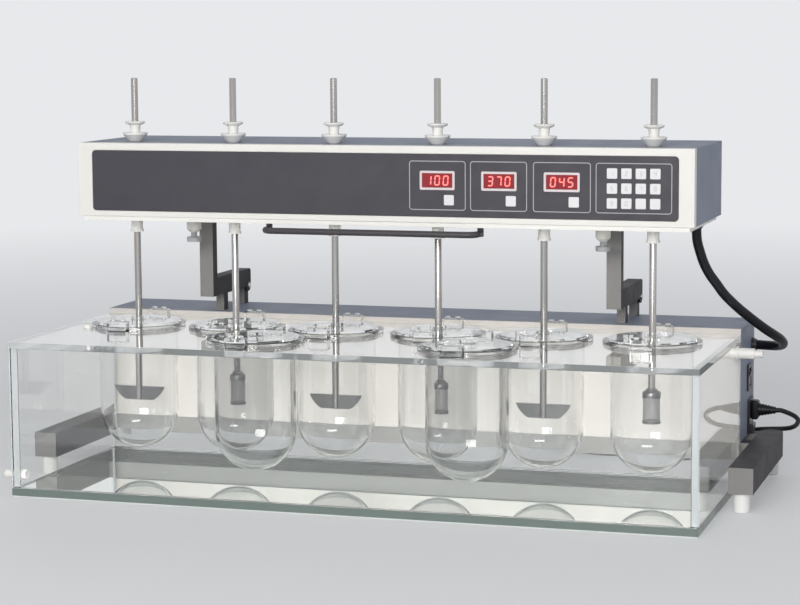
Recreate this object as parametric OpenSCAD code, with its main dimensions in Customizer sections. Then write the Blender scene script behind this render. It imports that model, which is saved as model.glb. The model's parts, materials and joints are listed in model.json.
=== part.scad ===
// Six-station dissolution tester: a clear water bath with eight glass vessels, and a
// drive head that tilts back on two arms. The origin is the middle of the bath's flat
// underside, +X to the right, +Y to the back, +Z up. All sizes are in millimetres.

/* [Stations] */
// Distance between neighbouring shafts
shaft_pitch = 145; // [138:1:150]
// Distance of the shaft line behind the middle of the bath
shaft_y = 46.5; // [42:0.5:50]
// Distance of the front row of vessels ahead of the shaft line
spare_gap = 115; // [112:1:120]

/* [Bath] */
// Outer width of the bath
tank_w = 920; // [900:5:960]
// Outer depth of the bath
tank_d = 320; // [310:2:330]
// Height of the clear walls above the floor plate
wall_h = 188; // [176:1:196]
// Thickness of the clear walls
wall_t = 10; // [8:0.5:12]
// Thickness of the floor plate
floor_t = 12; // [8:0.5:16]
// Thickness of the vessel plate
plate_t = 8; // [5:0.5:10]

/* [Vessels] */
// Outer diameter of a glass vessel
vessel_d = 108; // [104:0.5:112]
// Glass thickness
glass_t = 2.2; // [1.8:0.1:3]
// Depth of a vessel below the vessel plate's top
vessel_depth = 171; // [164:1:178]
// Diameter of the glass flange
flange_d = 118; // [116:0.5:121]
// Thickness of the glass flange
flange_t = 4; // [3:0.5:6]
// Outer diameter of the clear ring round each flange
seat_ring_d = 130; // [126:0.5:131]

/* [Lids] */
// Diameter of a lid
lid_d = 116; // [110:0.5:117]
// Thickness of a lid's disc
lid_t = 3; // [2:0.5:5]
// Diameter of the hub round the shaft
lid_hub_d = 22; // [18:1:28]
// Height of the hub above the disc
lid_hub_h = 6; // [4:0.5:12]
// Diameter of the sampling port
port_d = 9; // [6:0.5:11]
// Distance of the sampling port from the lid's middle
port_r = 32; // [26:0.5:38]

/* [Shafts] */
// Diameter of a stirring shaft
rod_d = 9.4; // [8:0.1:10]
// Distance of a shaft's lowest point above the vessel's outer bottom, as stored
rod_rest = 66.5; // [50:0.5:70]
// Length of a paddle shaft with its blade
rod_len = 447.5; // [430:0.5:460]
// Width of the paddle blade at its top
blade_top = 74.5; // [70:0.5:76]
// Width of the paddle blade at its bottom
blade_bottom = 42; // [38:0.5:46]
// Height of the paddle blade
blade_h = 19; // [18:0.5:20]
// Thickness of the paddle blade
blade_t = 4; // [3:0.5:5]
// Radius of the paddle blade's curved ends
blade_r = 41.5; // [38:0.5:60]
// Outer diameter of a basket's screen
basket_d = 22.2; // [20:0.2:23]
// Height of a basket under its cap
basket_h = 37; // [34:0.5:40]
// Height of a basket's cap
cap_h = 8; // [5:0.5:10]

/* [Spindles] */
// Outer diameter of the hollow spindle
spindle_d = 16; // [15:0.5:17]
// Diameter of the toothed pulley
pulley_d = 48; // [40:1:56]
// Width of the toothed pulley between its flanges
pulley_w = 11; // [9:0.5:14]
// Diameter of the hub's cone above the head
cone_d = 34; // [28:1:38]
// Diameter of the hub's clamping collar
collar_d = 28; // [24:1:32]

/* [Head] */
// Width of the drive head
head_w = 850; // [830:2:880]
// Depth of the drive head
head_d = 207; // [200:1:214]
// Height of the drive head above its base plate
head_h = 100; // [94:1:106]
// Height of the head's base plate above the bench
head_z = 358; // [350:1:366]
// Thickness of the head's base plate
base_t = 6; // [4:0.5:8]
// Distance from the head's front to the shaft line
head_front = 52; // [48:1:56]
// Sheet thickness of the head's cover
sheet_t = 2; // [1.5:0.1:3]
// Depth of the white front frame
frame_d = 15; // [12:1:20]
// Width of the dark control panel
panel_w = 809; // [790:1:815]
// Height of the dark control panel
panel_h = 82; // [76:1:84]
// Thickness of the control panel
panel_t = 1.6; // [1:0.1:2.5]

/* [Tilt arms] */
// Distance of each arm from the middle
arm_x = 293.5; // [291:0.5:296]
// Width of an arm
arm_w = 20; // [18:1:24]
// Depth of an arm's upright
arm_t = 16; // [12:1:20]
// Distance of the arm's front face behind the shaft line
arm_y = 82; // [80:1:88]
// Height of the hinge pins above the bench
pivot_z = 242; // [240:0.5:243]
// Distance of the hinge pins behind the shaft line
pivot_y = 220; // [218:0.5:221]
// Diameter of a hinge pin
pin_d = 8; // [6:0.5:10]
// Width of a rear hinge post
post_w = 12; // [10:0.5:13]

/* [Rear case] */
// Depth of the rear case
case_d = 119.5; // [116:0.5:126]
// Height of the rear case
case_h = 155; // [150:1:158]
// Sheet thickness of the rear case
case_t = 2; // [1.5:0.1:3]

/* [Base] */
// Width of a base beam
beam_w = 32; // [28:1:36]
// Height of a base beam
beam_h = 34; // [30:1:38]
// Length of a base beam
beam_l = 288; // [276:1:292]
// Gap between a beam and the bath
beam_gap = 12; // [10:0.5:20]
// Height of a foot
foot_h = 26; // [22:0.5:30]
// Diameter of a foot
foot_d = 21; // [20:1:28]

/* [Cords] */
// Diameter of the mains cord
cord_d = 6.6; // [6:0.1:7.5]
// Diameter of the black conduit
conduit_d = 13; // [11:0.5:14]

/* [Hidden] */

$fn = 96;
small = 32;
cut = 1;
seat = 0.3;
run = 0.05;
fit_r = 0.1;

// Places of the eight vessels: six under the shafts, two in the front row
station_x = [for (i = [0 : 5]) (i - 2.5) * shaft_pitch];
spare_x = [-shaft_pitch, shaft_pitch];
spare_y = shaft_y - spare_gap;
vessel_at = [
    for (x = station_x) [x, shaft_y],
    for (x = spare_x) [x, spare_y]
];

// Heights of the bath
plate_z = floor_t + wall_h;
plate_top = plate_z + plate_t;
vessel_bottom = plate_top - vessel_depth;
flange_top = plate_top + flange_t;
lid_z = flange_top + seat;
hole_d = vessel_d + 1.5;
ring_h = flange_t + 0.5;
plug_d = vessel_d - 2 * glass_t - 3.6;
plug_t = 3;

// Heights of the head and of what runs through it
head_y = shaft_y - head_front;
head_top = head_z + base_t + head_h;
frame_z = head_z + base_t;
rod_low = vessel_bottom + rod_rest;
rod_top = rod_low + rod_len;
collar_drop = 19;
collar_low = head_z - collar_drop;
pulley_z = head_z + 63;
pulley_flange_d = pulley_d + 6;
pulley_flange_t = 1.5;
belt_t = 2;
belt_w = pulley_w - 1;
bearing_d = 40;
bearing_h = 14;
deck_z = head_top - 26;

// Places of the rear case
case_y = tank_d / 2 + 0.5;
case_z = foot_h + beam_h;
case_top = case_z + case_h;
case_back = case_y + case_d;
side_x = tank_w / 2;
beam_x = tank_w / 2 + beam_gap;
beam_y = -10;
hinge_y = shaft_y + pivot_y;
arm_front = shaft_y + arm_y;
arm_low = pivot_z - 2;
foot_bar_h = 26;

// Clearances of the hinge
pin_clear = 0.05;
post_clear = 0.3;
lug_r = 9;
lug_cut = 3;
slot_front = 13;

// Places of the panel's displays and keys, from the middle of the panel
display_pitch = 83.2;
display_x = 87;
window_w = 47.5;
window_h = 25;
window_z = 419.5;
key_w = 13.5;
key_t = 0.8;
small_key_x = 102.8;
small_key_z = 394;
pad_x = 319;
pad_z = 393.4;
pad_pitch_x = 18.6;
pad_pitch_z = 19.1;
panel_z = frame_z + head_h / 2 - 1.2;

steel = [0.78, 0.79, 0.8];
clear = [0.8, 0.88, 0.9, 0.35];
white = [0.95, 0.94, 0.91];
case_grey = [0.5, 0.53, 0.58];
arm_grey = [0.62, 0.61, 0.6];
dark = [0.3, 0.29, 0.33];
black = [0.06, 0.06, 0.07];

// A rectangle with round corners, about its middle
module round_rect(w, h, r) {
    square([w - 2 * r, h], center = true);
    square([w, h - 2 * r], center = true);
    for (sx = [-1, 1], sy = [-1, 1])
        translate([sx * (w / 2 - r), sy * (h / 2 - r)]) circle(r, $fn = small);
}

// A plate that faces the front, with its front at y
module front_plate(x, y, z, w, h, t, r) {
    translate([x, y + t, z]) rotate([90, 0, 0]) linear_extrude(t) round_rect(w, h, r);
}

// A ring or tube about +Z
module tube(od, id, h) {
    difference() {
        cylinder(d = od, h = h);
        translate([0, 0, -cut]) cylinder(d = id, h = h + 2 * cut);
    }
}

// Base and rear case

crossbar_d = 24;
crossbar_h = 24;
crossbar_at = [case_y + 4, case_back - crossbar_d - 18];

// Two side beams and the two crossbars welded between them
module base_frame() {
    color(arm_grey) {
        for (s = [-1, 1])
            translate([s * (beam_x + beam_w / 2), beam_y, foot_h])
                translate([-beam_w / 2, 0, 0]) {
                    cube([beam_w, beam_l - beam_w / 2, beam_h]);
                    translate([beam_w / 2, beam_l - beam_w / 2, 0])
                        cylinder(d = beam_w, h = beam_h);
                }
        for (y = crossbar_at)
            translate([-beam_x - cut, y, case_z - crossbar_h])
                cube([2 * beam_x + 2 * cut, crossbar_d, crossbar_h]);
    }
}

foot_inset = 14;
foot_at = [beam_y + foot_inset, beam_y + beam_l - foot_inset - 2];

module feet() {
    color(white)
    for (s = [-1, 1], y = foot_at)
        translate([s * (beam_x + beam_w / 2), y, 0]) {
            cylinder(d1 = foot_d - 3, d2 = foot_d, h = 1.5);
            translate([0, 0, 1.5]) cylinder(d = foot_d, h = foot_h - 1.5);
        }
}

front_panel_t = 3;
switch_y = hinge_y - 35;
switch_z = 140;
switch_w = 28;
switch_h = 36;
inlet_y = hinge_y - 22;
inlet_z = 85;
inlet_w = 38;
inlet_h = 48;
socket_drop = -8;
body_inset = 3;
conduit_end_y = hinge_y - 8;
conduit_end_z = case_top - 34;
gland_hole_d = conduit_d + 0.5;

// A window through the right wall of the case
module wall_window(y, z, w, h) {
    translate([side_x - case_t - cut, y - w / 2, z - h / 2]) cube([case_t + 2 * cut, w, h]);
}

module case_cover() {
    y0 = case_y + front_panel_t;
    color(case_grey)
    difference() {
        translate([-side_x, y0, case_z]) cube([tank_w, case_back - y0, case_h]);
        translate([-side_x + case_t, y0 - cut, case_z + case_t])
            cube([tank_w - 2 * case_t, case_back - y0 - case_t + cut, case_h - 2 * case_t]);
        wall_window(switch_y, switch_z, switch_w - 2 * body_inset, switch_h - 2 * body_inset);
        wall_window(inlet_y, inlet_z, inlet_w - 2 * body_inset, inlet_h - 2 * body_inset);
        translate([side_x - case_t - cut, conduit_end_y, conduit_end_z])
            rotate([0, 90, 0]) cylinder(d = gland_hole_d, h = case_t + 2 * cut);
    }
}

module case_front_panel() {
    color(white)
    translate([-side_x, case_y, case_z]) cube([tank_w, front_panel_t, case_h]);
}

heater_l = 260;
heater_d = 46;
heater_x = -150;
internal_y = case_y + case_d / 2;
internal_z = case_z + case_t;

// Flow heater: a steel chamber on two saddles with a heating rod's head at one end
module heater_unit() {
    color(steel)
    translate([heater_x, internal_y, internal_z]) {
        for (s = [-1, 1])
            translate([s * heater_l / 3 - 10, -heater_d / 2, 0]) cube([20, heater_d, 30]);
        translate([-heater_l / 2, 0, 30 + heater_d / 4]) rotate([0, 90, 0]) {
            cylinder(d = heater_d, h = heater_l);
            translate([0, 0, heater_l]) cylinder(d = 30, h = 24, $fn = 6);
        }
        for (s = [-1, 1])
            translate([s * heater_l * 0.42, 0, 30 + heater_d / 2]) cylinder(d = 12, h = 30);
    }
}

pump_x = 90;
pump_d = 62;
pump_l = 85;
pump_base = [90, 48, 10];

// Circulation pump: a motor lying along X with its volute and two ports
module circulation_pump() {
    color(black)
    translate([pump_x, internal_y, internal_z]) {
        translate([-30, -pump_base[1] / 2, 0]) cube(pump_base);
        translate([-25, 0, 6 + pump_d / 2]) rotate([0, 90, 0]) {
            cylinder(d = pump_d, h = pump_l);
            translate([0, 0, -24]) cylinder(d = pump_d + 12, h = 24);
            translate([0, 0, -46]) cylinder(d = 14, h = 24);
        }
        translate([-37, 0, 6 + pump_d / 2]) cylinder(d = 14, h = pump_d / 2 + 24);
    }
}

board_w = 150;
board_d = 84;
board_x = 290;

// Power board: circuit board on four posts, with a transformer and a heat sink
module power_board() {
    color([0.12, 0.35, 0.2])
    translate([board_x, internal_y, internal_z]) {
        for (sx = [-1, 1], sy = [-1, 1])
            translate([sx * (board_w / 2 - 6), sy * (board_d / 2 - 6), 0])
                cylinder(d = 6, h = 8, $fn = small);
        translate([-board_w / 2, -board_d / 2, 8]) cube([board_w, board_d, 2]);
        translate([-board_w / 2 + 10, -28, 10]) cube([54, 56, 42]);
        for (i = [0 : 5]) translate([10 + i * 9, -30, 10]) cube([3, 60, 34]);
        translate([10, -30, 10]) cube([48, 60, 5]);
    }
}

connector_w = 16;
connector_h = 22;
connector_in = 14;

// Mains socket above a fuse drawer: a flange outside the case and a body inside
module power_inlet() {
    color(black)
    translate([side_x, inlet_y, inlet_z])
    difference() {
        union() {
            translate([0, -inlet_w / 2, -inlet_h / 2]) cube([3, inlet_w, inlet_h]);
            translate([-26, -inlet_w / 2 + body_inset + fit_r, -inlet_h / 2 + body_inset + fit_r])
                cube([27, inlet_w - 2 * (body_inset + fit_r), inlet_h - 2 * (body_inset + fit_r)]);
            translate([2, -12, -inlet_h / 2 + 3]) cube([5, 24, 10]);
        }
        translate([-connector_in - 4, -connector_w / 2 - seat, -socket_drop - connector_h / 2 - seat])
            cube([connector_in + 7 + cut, connector_w + 2 * seat, connector_h + 2 * seat]);
    }
}

housing_wall = 2.4;
rocker_axis = -6;
rocker_pin_d = 4;
rocker_w = switch_w - 2 * (body_inset + fit_r + housing_wall + seat);
rocker_h = 20;
rocker_tilt = 9;

// Bezel and body of the switch, with a blind hole in each cheek for the rocker's pins
module switch_housing() {
    body_w = switch_w - 2 * (body_inset + fit_r);
    body_h = switch_h - 2 * (body_inset + fit_r);
    color(black)
    translate([side_x, switch_y, switch_z])
    difference() {
        union() {
            translate([0, -switch_w / 2, -switch_h / 2]) cube([2.5, switch_w, switch_h]);
            translate([-22, -body_w / 2, -body_h / 2]) cube([23, body_w, body_h]);
        }
        translate([-16, -body_w / 2 + housing_wall, -body_h / 2 + housing_wall])
            cube([16 + 2.5 + cut, body_w - 2 * housing_wall, body_h - 2 * housing_wall]);
        translate([rocker_axis, rocker_w / 2 + seat + 1.6, 0]) rotate([90, 0, 0])
            cylinder(d = rocker_pin_d + 2 * run, h = rocker_w + 2 * seat + 3.2);
    }
}

// The rocker, shown switched off, turns on its two pins
module rocker_switch() {
    half = rocker_h / 2;
    color(black)
    translate([side_x + rocker_axis, switch_y, switch_z]) rotate([90, rocker_tilt, 0]) {
        translate([0, 0, -rocker_w / 2]) linear_extrude(rocker_w)
            polygon([[-4, -5], [6.5, -half], [9.5, -half], [8.2, 0], [9.5, half], [6.5, half], [-4, 5]]);
        translate([0, 0, -rocker_w / 2 - seat - 1.2])
            cylinder(d = rocker_pin_d, h = rocker_w + 2 * seat + 2.4);
    }
}

// Bath

module tank_floor() {
    color([0.42, 0.5, 0.46])
    translate([-tank_w / 2, -tank_d / 2, 0]) cube([tank_w, tank_d, floor_t]);
}

drain_y = -tank_d / 2 + wall_t + 8;
drain_z = floor_t + 16;
drain_d = 11.5;
drain_l = 18;
spigot_inset = 21.5;
spigot_y = tank_d / 2 - wall_t - spigot_inset;
spigot_z = plate_z - 13;
fitting_d = 13;

// Two long walls, and two end walls between them
module tank_walls() {
    color(clear) {
        for (y = [-tank_d / 2, tank_d / 2 - wall_t])
            translate([-tank_w / 2, y, floor_t]) cube([tank_w, wall_t, wall_h]);
        difference() {
            for (s = [-1, 1])
                translate([s * (tank_w / 2 - wall_t / 2) - wall_t / 2, -tank_d / 2 + wall_t, floor_t])
                    cube([wall_t, tank_d - 2 * wall_t, wall_h]);
            translate([-tank_w / 2 - cut, drain_y, drain_z]) rotate([0, 90, 0])
                cylinder(d = fitting_d, h = wall_t + 2 * cut);
            translate([tank_w / 2 - wall_t - cut, spigot_y, spigot_z]) rotate([0, 90, 0])
                cylinder(d = fitting_d, h = wall_t + 2 * cut);
        }
    }
}

filler_at = [station_x[0] - 57.5, shaft_y - 43.5];
filler_d = 9;

module vessel_plate() {
    color(clear)
    difference() {
        translate([-tank_w / 2, -tank_d / 2, plate_z]) cube([tank_w, tank_d, plate_t]);
        for (p = vessel_at)
            translate([p[0], p[1], plate_z - cut]) cylinder(d = hole_d, h = plate_t + 2 * cut);
        translate([filler_at[0], filler_at[1], plate_z - cut])
            cylinder(d = filler_d, h = plate_t + 2 * cut, $fn = small);
    }
}

module seat_rings() {
    color(clear)
    for (p = vessel_at)
        translate([p[0], p[1], plate_top]) tube(seat_ring_d, flange_d + 1, ring_h);
}

// Half profile of a round-bottomed vessel: a tube of radius r closed by a hemisphere
module cup_profile(r, bottom, top) {
    translate([0, bottom + r]) square([r, top - bottom - r]);
    intersection() {
        translate([0, bottom + r]) circle(r);
        translate([0, bottom]) square([r, r]);
    }
}

module glass_vessel() {
    inner_r = vessel_d / 2 - glass_t;
    rotate_extrude()
    difference() {
        union() {
            cup_profile(vessel_d / 2, vessel_bottom, flange_top);
            translate([0, plate_top]) square([flange_d / 2, flange_t]);
        }
        cup_profile(inner_r, vessel_bottom + glass_t, flange_top + cut);
    }
}

module glass_vessels() {
    color(clear)
    for (p = vessel_at) translate([p[0], p[1], 0]) glass_vessel();
}

clamp_w = 28;
clamp_d = 12;
clamp_h = 14;
clamp_screw_d = 7;

// A clear block bolted to the vessel plate ahead of a seat ring, and one behind it
module vessel_clamps() {
    color(clear)
    for (p = vessel_at, s = [-1, 1])
        translate([p[0], p[1] + s * (seat_ring_d / 2 + clamp_d / 2 + 0.2), plate_top]) {
            translate([-clamp_w / 2, -clamp_d / 2, 0]) cube([clamp_w, clamp_d, clamp_h]);
            for (t = [-1, 1])
                translate([t * clamp_w / 4, 0, clamp_h])
                    cylinder(d = clamp_screw_d, h = 2, $fn = small);
        }
}

spigot_d = 10;
spigot_l = 11;

// Drain plug low in the left wall, hose spigot high in the right wall, filler plug on top
module tank_fittings() {
    color(white) {
        translate([-tank_w / 2, drain_y, drain_z]) rotate([0, 90, 0]) {
            translate([0, 0, -drain_l]) cylinder(d1 = drain_d - 2.4, d2 = drain_d, h = 1.2);
            translate([0, 0, 1.2 - drain_l]) cylinder(d = drain_d, h = drain_l - 1.2);
            cylinder(d = fitting_d - 0.2, h = wall_t);
            translate([0, 0, wall_t]) cylinder(d = drain_d + 2.5, h = 6, $fn = 6);
        }
        translate([tank_w / 2, spigot_y, spigot_z]) rotate([0, 90, 0]) {
            cylinder(d = 19, h = 2.5);
            translate([0, 0, 2.5]) cylinder(d = 14.5, h = 21);
            translate([0, 0, 23.5]) cylinder(d = spigot_d, h = spigot_l);
            translate([0, 0, -wall_t]) cylinder(d = fitting_d - 0.2, h = wall_t);
            translate([0, 0, -wall_t - 6]) cylinder(d = 20, h = 6);
        }
        translate([filler_at[0], filler_at[1], plate_z])
            cylinder(d = filler_d - 0.2, h = plate_t, $fn = small);
        translate([filler_at[0], filler_at[1], plate_top]) cylinder(d = 13, h = 5);
    }
}

// Hinge

stop_y = hinge_y - 88.5;
stop_w = 12;
stop_d = 16;

// Rear posts carry the hinge pins, and front posts stop the arms
module hinge_posts() {
    color([0.66, 0.6, 0.53])
    for (s = [-1, 1]) {
        translate([s * arm_x, 0, 0]) {
            difference() {
                union() {
                    translate([-post_w / 2, hinge_y - 8, case_top])
                        cube([post_w, 16, pivot_z - case_top]);
                    translate([-post_w / 2, hinge_y, pivot_z]) rotate([0, 90, 0])
                        cylinder(d = 16, h = post_w);
                }
                translate([-post_w / 2 - cut, hinge_y, pivot_z]) rotate([0, 90, 0])
                    cylinder(d = pin_d, h = post_w + 2 * cut);
            }
            translate([-stop_w / 2, stop_y, case_top])
                cube([stop_w, stop_d, arm_low - seat - case_top]);
        }
    }
}

module hinge_pins() {
    color(steel)
    for (s = [-1, 1])
        translate([s * arm_x - arm_w / 2 - 2, hinge_y, pivot_z]) rotate([0, 90, 0])
            cylinder(d = pin_d, h = arm_w + 4);
}

// Outline of an arm seen from the side: an upright under the head, a foot bar back to the
// hinge pin, and a round lug under the pin
module arm_outline() {
    back = hinge_y + lug_r;
    bar_top = arm_low + foot_bar_h;
    polygon([[arm_front, arm_low], [hinge_y, arm_low], [back, pivot_z], [back, bar_top - lug_cut],
             [back - lug_cut, bar_top], [arm_front + arm_t, bar_top], [arm_front + arm_t, head_z],
             [arm_front, head_z]]);
    translate([hinge_y, pivot_z]) circle(r = lug_r);
}

module tilt_arm() {
    difference() {
        translate([-arm_w / 2, 0, 0]) rotate([90, 0, 90]) linear_extrude(arm_w) arm_outline();
        // Slot for the rear post, open below and behind
        translate([-post_w / 2 - post_clear, hinge_y - slot_front, arm_low - 20])
            cube([post_w + 2 * post_clear, slot_front + lug_r + cut, 20 + pivot_z + 10 - arm_low]);
        translate([-arm_w / 2 - cut, hinge_y, pivot_z]) rotate([0, 90, 0])
            cylinder(d = pin_d + 2 * pin_clear, h = arm_w + 2 * cut);
    }
}

module tilt_arms() {
    color(arm_grey)
    for (s = [-1, 1]) translate([s * arm_x, 0, 0]) tilt_arm();
}

// Head

panel_rim = 10;

// White frame with a recess for the panel, open behind it inside a rim
module head_front_frame() {
    color(white)
    difference() {
        translate([-head_w / 2, head_y, frame_z]) cube([head_w, frame_d, head_h]);
        front_plate(0, head_y - cut, panel_z, panel_w + 0.6, panel_h + 0.6, cut + panel_t + 0.2, 5.3);
        translate([-head_w / 2 + 6, head_y + 6, frame_z + 6])
            cube([head_w - 12, frame_d, head_h - 12]);
        translate([-panel_w / 2 + panel_rim, head_y - cut, panel_z - panel_h / 2 + panel_rim])
            cube([panel_w - 2 * panel_rim, frame_d, panel_h - 2 * panel_rim]);
    }
}

cover_hole_d = spindle_d + 5;

module head_cover() {
    y0 = head_y + frame_d;
    color(case_grey)
    difference() {
        translate([-head_w / 2, y0, frame_z]) cube([head_w, head_d - frame_d, head_h]);
        translate([-head_w / 2 + sheet_t, y0 - cut, frame_z - cut])
            cube([head_w - 2 * sheet_t, head_d - frame_d - sheet_t + cut, head_h - sheet_t + cut]);
        for (x = station_x)
            translate([x, shaft_y, head_top - sheet_t - cut])
                cylinder(d = cover_hole_d, h = sheet_t + 2 * cut);
    }
}

base_inset = 6;
conduit_x = head_w / 2 - 22;
conduit_back = 90.5;
conduit_y = shaft_y + conduit_back;
boss_d = 20;
boss_h = 21.5;
boss_cone_h = 4.5;
knob_y = shaft_y + 30;
knob_x = 290;
knob_stud_d = 6;

// Base plate with a raised middle that locates the cover, and a boss over each thumb knob
module head_base() {
    color(white)
    difference() {
        union() {
            translate([-head_w / 2 + base_inset, head_y + 3, head_z])
                cube([head_w - 2 * base_inset, head_d - 6, base_t]);
            translate([-head_w / 2 + sheet_t + 0.3, head_y + frame_d + 0.3, head_z + base_t])
                cube([head_w - 2 * sheet_t - 0.6, head_d - frame_d - sheet_t - 0.6, 2]);
            for (s = [-1, 1])
                translate([s * knob_x, knob_y, head_z - boss_h]) {
                    translate([0, 0, boss_cone_h]) cylinder(d = boss_d, h = boss_h - boss_cone_h);
                    cylinder(d1 = boss_d / 2, d2 = boss_d, h = boss_cone_h);
                }
        }
        for (x = station_x)
            translate([x, shaft_y, head_z - cut]) cylinder(d = spindle_d + 4, h = base_t + 2 + 2 * cut);
        for (s = [-1, 1])
            translate([s * knob_x, knob_y, head_z - boss_h - cut])
                cylinder(d = knob_stud_d + 2 * fit_r, h = boss_h + base_t - 1 + cut);
        translate([conduit_x, conduit_y, head_z - cut])
            cylinder(d = gland_hole_d, h = base_t + 2 + 2 * cut);
    }
}

knob_d = 20;
knob_h = 6.5;
knob_neck_d = 8.5;
knob_neck_h = 6;

// Thumb knob: a disc on a neck, with a stud that turns in the boss
module thumb_knob(s) {
    color(arm_grey)
    translate([s * knob_x, knob_y, head_z - boss_h - seat]) {
        translate([0, 0, -knob_neck_h]) cylinder(d = knob_neck_d, h = knob_neck_h);
        translate([0, 0, -knob_neck_h - knob_h]) cylinder(d = knob_d, h = knob_h);
        cylinder(d = knob_stud_d, h = boss_h);
    }
}

module control_panel() {
    color(dark)
    difference() {
        front_plate(0, head_y + 0.2, panel_z, panel_w, panel_h, panel_t, 5);
        for (i = [0 : 2])
            translate([display_x + i * display_pitch, head_y - cut, window_z])
                translate([-window_w / 2 + 2, 0, -window_h / 2 + 2])
                    cube([window_w - 4, 2 * cut + 3, window_h - 4]);
    }
}

window_proud = 0.6;

module display_windows() {
    color([0.75, 0.1, 0.12])
    for (i = [0 : 2])
        translate([display_x + i * display_pitch, 0, window_z]) {
            front_plate(0, head_y + 0.2 - window_proud, 0, window_w, window_h, window_proud, 2);
            translate([-window_w / 2 + 2.2, head_y + 0.2 - cut / 10, -window_h / 2 + 2.2])
                cube([window_w - 4.4, 7, window_h - 4.4]);
        }
}

module key(x, z) {
    front_plate(x, head_y + 0.2 - key_t, z, key_w, key_w, key_t, 1.5);
}

module membrane_keys() {
    color(white) {
        for (i = [0 : 2]) key(small_key_x + i * display_pitch, small_key_z);
        for (c = [0 : 3], r = [0 : 2]) key(pad_x + c * pad_pitch_x, pad_z + r * pad_pitch_z);
    }
}

handle_w = 295;
handle_x = -8.5;
handle_bar = 8.5;
handle_front = head_y - 6.5;
handle_z = head_z - 9;
handle_back = head_y + 27.5;
handle_r = 13;

// A round bar bent to a U, lying flat under the head's front edge, on two standoffs
module lift_handle() {
    leg = handle_back - handle_front - handle_r - handle_bar / 2;
    color(arm_grey)
    translate([handle_x, handle_front + handle_bar / 2, handle_z]) {
        translate([-handle_w / 2 + handle_r, 0, 0]) rotate([0, 90, 0])
            cylinder(d = handle_bar, h = handle_w - 2 * handle_r);
        for (s = [-1, 1]) {
            translate([s * (handle_w / 2 - handle_r), handle_r, 0])
                rotate([0, 0, s > 0 ? -90 : 180]) rotate_extrude(angle = 90)
                    translate([handle_r, 0]) circle(d = handle_bar, $fn = small);
            translate([s * handle_w / 2, handle_r, 0]) rotate([-90, 0, 0])
                cylinder(d = handle_bar, h = leg);
            translate([s * handle_w / 2, handle_r + leg - handle_bar / 2, 0])
                cylinder(d = handle_bar, h = head_z - handle_z);
        }
    }
}

motor_d = 60;
motor_low = frame_z + 2;
motor_h = pulley_z - 8 - motor_low;
motor_shaft_d = 8;
rotor_in = 30;

// Motor on a square flange, hollow for the rotor shaft that carries its pulley
module drive_motor() {
    color(steel)
    translate([0, shaft_y, motor_low])
    difference() {
        union() {
            translate([-36, -36, 0]) cube([72, 72, 5]);
            cylinder(d = motor_d, h = motor_h);
            cylinder(d = 22, h = motor_h + 2);
        }
        translate([0, 0, motor_h - rotor_in - 1])
            cylinder(d = motor_shaft_d + 2 * run, h = rotor_in + 3 + cut);
    }
}

// Half profile of a belt pulley with two flanges, from its own lower face
module pulley_profile(bore_r) {
    translate([bore_r, 0]) square([pulley_flange_d / 2 - bore_r, pulley_flange_t]);
    translate([bore_r, 0]) square([pulley_d / 2 - bore_r, pulley_w + 2 * pulley_flange_t]);
    translate([bore_r, pulley_w + pulley_flange_t])
        square([pulley_flange_d / 2 - bore_r, pulley_flange_t]);
}

module motor_pulley() {
    low = motor_low + motor_h - rotor_in;
    color(steel)
    translate([0, shaft_y, 0]) {
        translate([0, 0, pulley_z]) rotate_extrude() pulley_profile(0);
        translate([0, 0, low]) cylinder(d = motor_shaft_d, h = pulley_z + pulley_w + 6 - low);
    }
}

module stadium(r) {
    for (x = [station_x[0], station_x[5]]) translate([x, 0]) circle(r);
    translate([station_x[0], -r]) square([station_x[5] - station_x[0], 2 * r]);
}

module drive_belt() {
    inner = pulley_d / 2 + seat;
    color(black)
    translate([0, shaft_y, pulley_z + pulley_flange_t + (pulley_w - belt_w) / 2]) linear_extrude(belt_w)
        difference() {
            stadium(inner + belt_t);
            stadium(inner);
        }
}

deck_t = 4;
deck_wall_t = 8;
deck_inset = 26;
upper_bearing_h = 10;

// A bearing on the base plate and one on the deck for each spindle
module shaft_bearings() {
    color(steel)
    for (x = station_x) {
        translate([x, shaft_y, frame_z + 2]) tube(bearing_d, spindle_d + 2 * fit_r, bearing_h);
        translate([x, shaft_y, deck_z + deck_t])
            tube(bearing_d, spindle_d + 2 * fit_r, upper_bearing_h);
    }
}

// Deck on two end walls that holds the upper bearings
module bearing_deck() {
    color(steel)
    difference() {
        union() {
            translate([-head_w / 2 + deck_inset, shaft_y - 26, deck_z])
                cube([head_w - 2 * deck_inset, 52, deck_t]);
            for (s = [-1, 1])
                translate([s * (head_w / 2 - deck_inset - deck_wall_t / 2) - deck_wall_t / 2,
                           shaft_y - 26, frame_z + 2])
                    cube([deck_wall_t, 52, deck_z - frame_z - 2 + cut]);
        }
        for (x = station_x)
            translate([x, shaft_y, deck_z - cut]) cylinder(d = spindle_d + 4, h = deck_t + 2 * cut);
    }
}

control_board_x = 50;
control_board_w = 350;
control_board_h = 76;
board_foot_inset = 20;

module control_board() {
    color([0.12, 0.35, 0.2])
    translate([control_board_x, head_y + frame_d + 1, frame_z + 2]) {
        translate([0, 0, 6]) cube([control_board_w, 1.6, control_board_h]);
        for (x = [board_foot_inset, control_board_w - board_foot_inset])
            translate([x - 5, 0, 0]) cube([10, 8, 6]);
    }
}

cone_low = head_top - 1;
cone_top = cone_low + 13;
neck_r = 6.5;
collar_z = cone_top + 10;

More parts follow.
